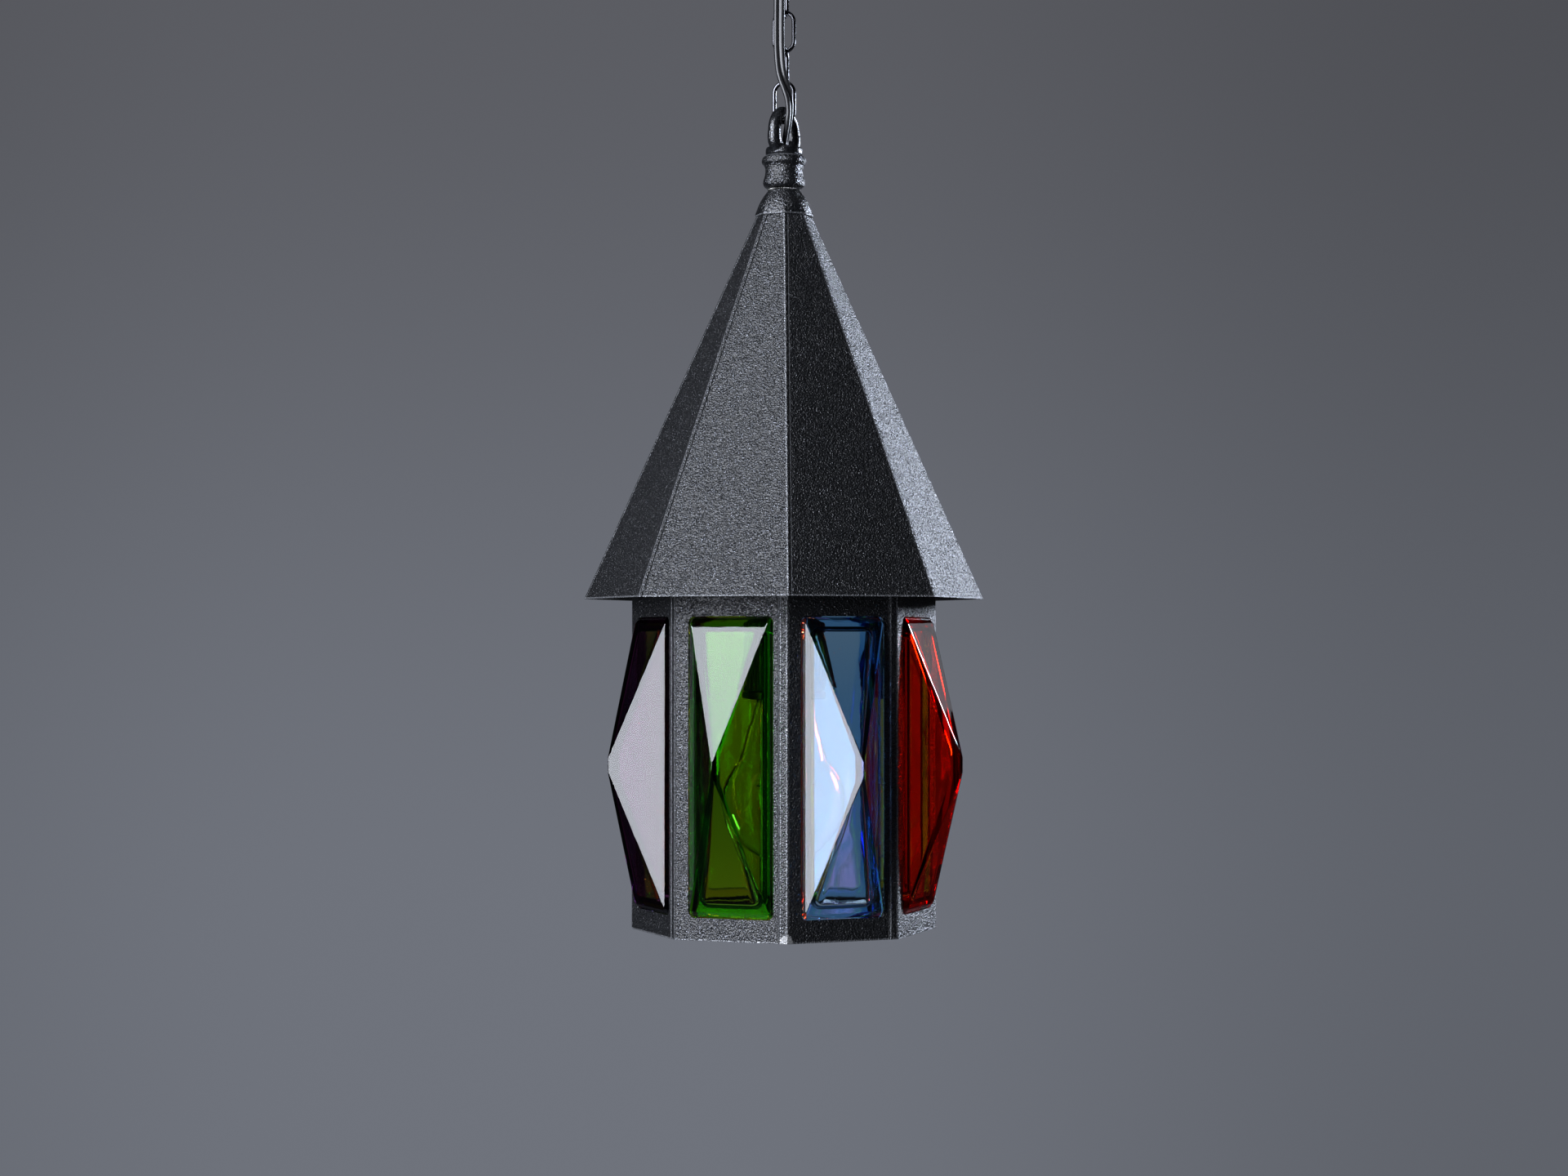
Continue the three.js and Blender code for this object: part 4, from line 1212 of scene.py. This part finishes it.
class LANTERN_OT_lampholder(bpy.types.Operator):
    """Makes the lampholder's cap, ribbed skirt, porcelain core, screw shell and contact"""

    bl_idname = "lantern.lampholder"
    bl_label = "Lampholder"

    def execute(self, context):
        self.cap()
        self.skirt()
        self.core()
        self.shell()
        finish_node("holder_contact", "brass", 0.0003)
        return {"FINISHED"}

    def cap(self):
        low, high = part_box("holder_cap")
        reach = high.x
        neck = 0.0076
        wall = 0.0016
        neck_height = 0.007
        shoulder = 0.008
        bore = 0.0053
        edge = 0.0005

        def bend(inset):
            middle = (neck, high.z - neck_height - shoulder)
            return arc(middle, (reach - inset - neck, shoulder - inset), 90, 0, 12)

        outline = [(bore, high.z), (neck - edge, high.z), (neck, high.z - edge), *bend(0)]
        outline += [(reach, low.z), (reach - wall, low.z), *reversed(bend(wall))]
        outline.append((bore, high.z - neck_height - wall))
        made = piece_from(turned(outline, 96), "holder_dome")
        dress(made, "lantern", "black_plastic", "holder_cap")

    def skirt(self):
        low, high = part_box("holder_skirt")
        reach = high.x
        wall = 0.0016
        bead = 0.004
        groove = 0.0008
        edge = 0.0004
        foot_edge = 0.0006
        ribs = 36
        rib = 0.0007
        ribbed_radius = reach - groove * 1.001
        ribs_top = high.z - bead - groove
        ribs_foot = low.z + bead
        outline = [(reach - wall, high.z), (reach - edge, high.z), (reach, high.z - edge)]
        outline += [(reach, high.z - bead), (reach - groove, ribs_top)]
        for i in range(1, 10):
            outline.append((ribbed_radius, ribs_top + (ribs_foot - ribs_top) * i / 10))
        outline += [(reach - groove, ribs_foot), (reach, ribs_foot - groove)]
        outline += [(reach, low.z + foot_edge), (reach - foot_edge, low.z), (reach - wall, low.z)]

        def ribs_round(radius, height, angle):
            if abs(radius - ribbed_radius) > 1e-7:
                return radius
            return radius + rib * max(0.0, math.cos(ribs * angle)) ** 0.5

        made = piece_from(turned(outline, ribs * 8, ribs_round), "ribbed_skirt")
        dress(made, "lantern", "black_plastic", "holder_skirt")

    def core(self):
        low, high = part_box("holder_core")
        reach = high.x
        inner = 0.0144
        base = 0.007
        edge = 0.001
        inner_edge = 0.0004
        outline = [(0, high.z), (reach - edge, high.z), (reach, high.z - edge)]
        outline += [(reach, low.z + edge), (reach - edge, low.z), (inner + inner_edge, low.z)]
        outline += [(inner, low.z + inner_edge), (inner, high.z - base), (0, high.z - base)]
        dress(piece_from(turned(outline, 72), "porcelain_core"), "lantern", "porcelain", "holder_core")

    def shell(self):
        low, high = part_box("holder_screw_shell")
        reach = high.x
        wall = 0.0005
        hole = 0.0066
        count = 44
        lift = 0.00022
        outside = [(reach, high.z - (high.z - low.z) * i / count) for i in range(count + 1)]
        inside = [(reach - wall, height) for radius, height in reversed(outside[2:])]
        thread = threaded(sizes().screw_pitch, 0.00045)

        def wobble(radius, height, angle):
            return thread(radius, height, angle) + lift if radius > reach - 2 * wall else radius

        bm = turned([(hole, high.z), *outside, *inside, (hole, high.z - wall)], 72, wobble)
        dress(piece_from(bm, "threaded_shell", 1.2), "lantern", "brass", "holder_screw_shell")


class LANTERN_OT_bulb(bpy.types.Operator):
    """Makes the bulb: its glass, stem, filament, cap and tip"""

    bl_idname = "lantern.bulb"
    bl_label = "Bulb"

    def execute(self, context):
        self.glass()
        self.stem()
        self.cap()
        finish_node("bulb_tip", "zinc", 0.0003)
        return {"FINISHED"}

    def glass(self):
        low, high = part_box("bulb_glass")
        radius = 0.03
        neck = 0.0121
        flare = 0.0022
        flare_length = 0.006
        seat = 0.006
        wall = 0.001
        cap_foot = high.z - seat
        centre = low.z + radius

        def outline(inset):
            points = arc((0, centre), (radius - inset, radius - inset), -90, 45, 36)
            start = Vector(points[-1])
            end = Vector((neck - inset, cap_foot))
            pull = Vector((neck + flare - inset, cap_foot - flare_length))
            for i in range(1, 15):
                share = i / 14
                points.append(tuple(start.lerp(pull, share).lerp(pull.lerp(end, share), share)))
            points.append((neck - inset, high.z))
            return points

        bm = turned([*outline(0), *reversed(outline(wall))], 96)
        dress(piece_from(bm, "blown_bulb", 1.2), "bulb", "clear_glass", "bulb_glass")

    def stem(self):
        low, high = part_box("bulb_stem")
        reach = high.x
        rod = 0.003
        edge = 0.0015
        flare = 0.009
        tip = 0.002
        outline = [(0, high.z), (reach, high.z), (reach, high.z - edge)]
        for i in range(1, 13):
            angle = math.pi / 2 * i / 12
            fall = flare * math.sin(angle) ** 2
            outline.append((reach + (rod - reach) * math.sin(angle), high.z - edge - fall))
        outline += arc((0, low.z + tip), (rod, tip), 0, -90, 8)
        made = piece_from(turned(outline, 48), "glass_stem", 1.2)
        dress(made, "bulb", "clear_glass", "bulb_stem")
        self.filament(low.z)

    def filament(self, stem_foot):
        """A wire hoop on two leads and three hooks."""
        spread = 0.0125
        wire = 0.00035
        level = stem_foot - 0.006
        ripple = 0.0006
        hoop = []
        for i in range(41):
            angle = math.radians(-150 + 300 * i / 40)
            height = level + ripple * math.sin(angle * 24)
            hoop.append(Vector((spread * math.sin(angle), spread * math.cos(angle), height)))
        leads = [
            [hoop[end], Vector((side, -0.001, stem_foot + 0.002))]
            for end, side in ((0, -0.002), (-1, 0.002))]
        leads += [[hoop[step], Vector((0, 0, stem_foot + 0.001))] for step in (10, 20, 30)]
        bm = bmesh.new()
        for path in [hoop, *leads]:
            rings = [
                round_ring(middle, heading(path, i), wire, 6, Vector((0.1, 0.2, 1)))
                for i, middle in enumerate(path)]
            join_part(bm, skin(rings, cap_first=True, cap_last=True))
        dress(piece_from(bm, "filament"), "bulb", "tungsten")

    def cap(self):
        low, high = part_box("bulb_cap")
        reach = high.x
        wall = 0.0006
        shoulder = 0.004
        top = 0.007
        bore = 0.0049
        plain = 0.002
        slope = 0.003
        count = 34
        tall = high.z - low.z - shoulder
        thread = threaded(sizes().screw_pitch, 0.0007)
        outline = [(bore, high.z), (top, high.z), (top + slope, high.z - shoulder * 0.45)]
        outline += [(reach, high.z - shoulder - tall * i / count) for i in range(count + 1)]
        outline += [(reach - wall, low.z), (reach - wall, high.z - shoulder), (bore, high.z - 2 * wall)]

        def wobble(radius, height, angle):
            fade = min(1.0, max(0.0, (height - low.z - plain) / plain))
            if radius < reach - wall / 2:
                return radius
            return radius + (thread(radius, height, angle) - radius) * fade

        made = piece_from(turned(outline, 72, wobble), "threaded_cap", 1.2)
        dress(made, "bulb", "brass", "bulb_cap")


# Stage

class LANTERN_OT_stage(bpy.types.Operator):
    """Makes the camera, the lamps, the world and the floor"""

    bl_idname = "lantern.stage"
    bl_label = "Stage"

    def execute(self, context):
        context.scene.view_settings.view_transform = "Standard"
        self.camera()
        self.lamps()
        self.world()
        self.floor()
        return {"FINISHED"}

    def camera(self):
        """The photograph's view: level with the glass's upper half, and tilted up a little."""
        distance = 1.404
        turn = math.radians(-1.2)
        height = EAVE - 0.023
        tilt = math.radians(1.17)
        data = bpy.data.cameras.new("camera")
        data.lens = 64.24
        data.sensor_width = 36
        data.clip_start = 0.01
        camera = bpy.data.objects.new("camera", data)
        bpy.context.scene.collection.objects.link(camera)
        camera.location = (distance * math.sin(turn), -distance * math.cos(turn), height)
        camera.rotation_euler = (math.pi / 2 + tilt, 0, turn)
        bpy.context.scene.camera = camera

    def lamp(self, name, azimuth, elevation, distance, width, height, power, colour):
        """A soft box that faces the lantern. Azimuth 0 is the camera's side, and grows to the right."""
        middle = Vector((0, 0, EAVE))
        turn = math.radians(azimuth)
        rise = math.radians(elevation)
        away = Vector((
            math.sin(turn) * math.cos(rise), -math.cos(turn) * math.cos(rise), math.sin(rise)))
        data = bpy.data.lights.new(name, "AREA")
        data.shape = "RECTANGLE"
        data.size = width
        data.size_y = height
        data.energy = power
        data.color = colour
        lamp = bpy.data.objects.new(name, data)
        bpy.context.scene.collection.objects.link(lamp)
        lamp.location = middle + away * distance
        lamp.rotation_mode = "QUATERNION"
        lamp.rotation_quaternion = away.to_track_quat("Z", "Y")
        lamp.visible_camera = False

    def lamps(self):
        """A large key on the left, two small lamps behind on the right, and a faint one above: name,
        azimuth and elevation in degrees, distance, width and height, watts, colour."""
        cool = (0.86, 0.9, 1.0)
        self.lamp("key_box", -47, 16.5, 1.7, 1.3, 1.75, 89, cool)
        self.lamp("rim_box", 126, 13, 1.6, 0.35, 0.42, 35, (0.76, 0.84, 1.0))
        self.lamp("back_box", 140, 14, 1.5, 0.4, 0.36, 0.25, cool)
        self.lamp("top_box", 0, 80, 1.8, 1.2, 1.2, 1, cool)

    def world(self):
        """A grey background, a little darker at the sides and above. Metal and glass see it too, but
        a dark room on the camera's side. What else it lights gets a weaker soft light."""
        world = bpy.data.worlds.new("studio")
        bpy.context.scene.world = world
        world.use_nodes = True
        it = Surroundings(world)
        x, y, z = it.parts(it.node("ShaderNodeTexCoord")[0])
        paper = it.mixed(z.ramp(-0.1, 0.25), (0.158, 0.17, 0.2), (0.104, 0.107, 0.122))
        edge = (x + 0.07).size().ramp(0.06, 0.36)
        backdrop = it.mixed(edge * 0.28, paper, (0.0, 0.0, 0.0))
        room = it.mixed(y.ramp(0.84, 0.98), (0.004, 0.004, 0.005), backdrop)
        rays = it.node("ShaderNodeLightPath")
        camera, glossy, transmitted = rays[0], rays[3], rays[6]
        soft = it.node("ShaderNodeBackground", None, (0.95, 0.98, 1.0), 0.08)[0]
        mirrored = it.node("ShaderNodeBackground", None, room, 1.0)[0]
        through = it.mixed(y.ramp(0.3, 0.7), (0.025, 0.026, 0.03), (0.16, 0.168, 0.19))
        passed = it.node("ShaderNodeBackground", None, through, 1.0)[0]
        behind = it.node("ShaderNodeBackground", None, backdrop, 1.0)[0]
        mix = it.node("ShaderNodeMixShader", None, glossy, soft, mirrored)[0]
        mix = it.node("ShaderNodeMixShader", None, transmitted, mix, passed)[0]
        mix = it.node("ShaderNodeMixShader", None, camera, mix, behind)[0]
        it.tree.links.new(mix.socket, it.output.inputs["Surface"])

    def floor(self):
        """A plain round floor, so low that it throws little light up on the black lacquer."""
        drop = 1.7
        reach = 4.0
        bm = bmesh.new()
        bmesh.ops.create_circle(bm, cap_ends=True, segments=96, radius=reach)
        bm.transform(Matrix.Translation((0, 0, cad_low.z - drop)))
        floor = piece_from(bm, "floor")
        it = Finish("floor")
        it.set(Base_Color=(0.12, 0.125, 0.14), Roughness=0.9)
        floor.data.materials.append(it.material)


class LANTERN_PT_sidebar(bpy.types.Panel):
    """The lantern's pieces, sizes and colours"""

    bl_label = "Lantern"
    bl_idname = "LANTERN_PT_sidebar"
    bl_space_type = "VIEW_3D"
    bl_region_type = "UI"
    bl_category = "Lantern"

    def draw(self, context):
        column = self.layout.column()
        for operator in OPERATORS:
            column.operator(operator.bl_idname)
        for group in (context.scene.lantern_sizes, context.scene.lantern_colours):
            for name in group.__annotations__:
                column.prop(group, name)


OPERATORS = (
    LANTERN_OT_stage,
    LANTERN_OT_twin_flex,
    LANTERN_OT_sheets,
    LANTERN_OT_rivets,
    LANTERN_OT_glass,
    LANTERN_OT_roof_cap,
    LANTERN_OT_collar,
    LANTERN_OT_hanging_loop,
    LANTERN_OT_chain,
    LANTERN_OT_ceiling_fitting,
    LANTERN_OT_tube,
    LANTERN_OT_lampholder,
    LANTERN_OT_bulb,
)
CLASSES = (LanternSizes, LanternColours, *OPERATORS, LANTERN_PT_sidebar)


def register():
    for made in CLASSES:
        bpy.utils.register_class(made)
    bpy.types.Scene.lantern_sizes = PointerProperty(type=LanternSizes)
    bpy.types.Scene.lantern_colours = PointerProperty(type=LanternColours)


def unregister():
    del bpy.types.Scene.lantern_colours
    del bpy.types.Scene.lantern_sizes
    for made in reversed(CLASSES):
        bpy.utils.unregister_class(made)


def main():
    register()
    for operator in OPERATORS:
        group, name = operator.bl_idname.split(".")
        getattr(getattr(bpy.ops, group), name)()


if __name__ == "__main__":
    main()
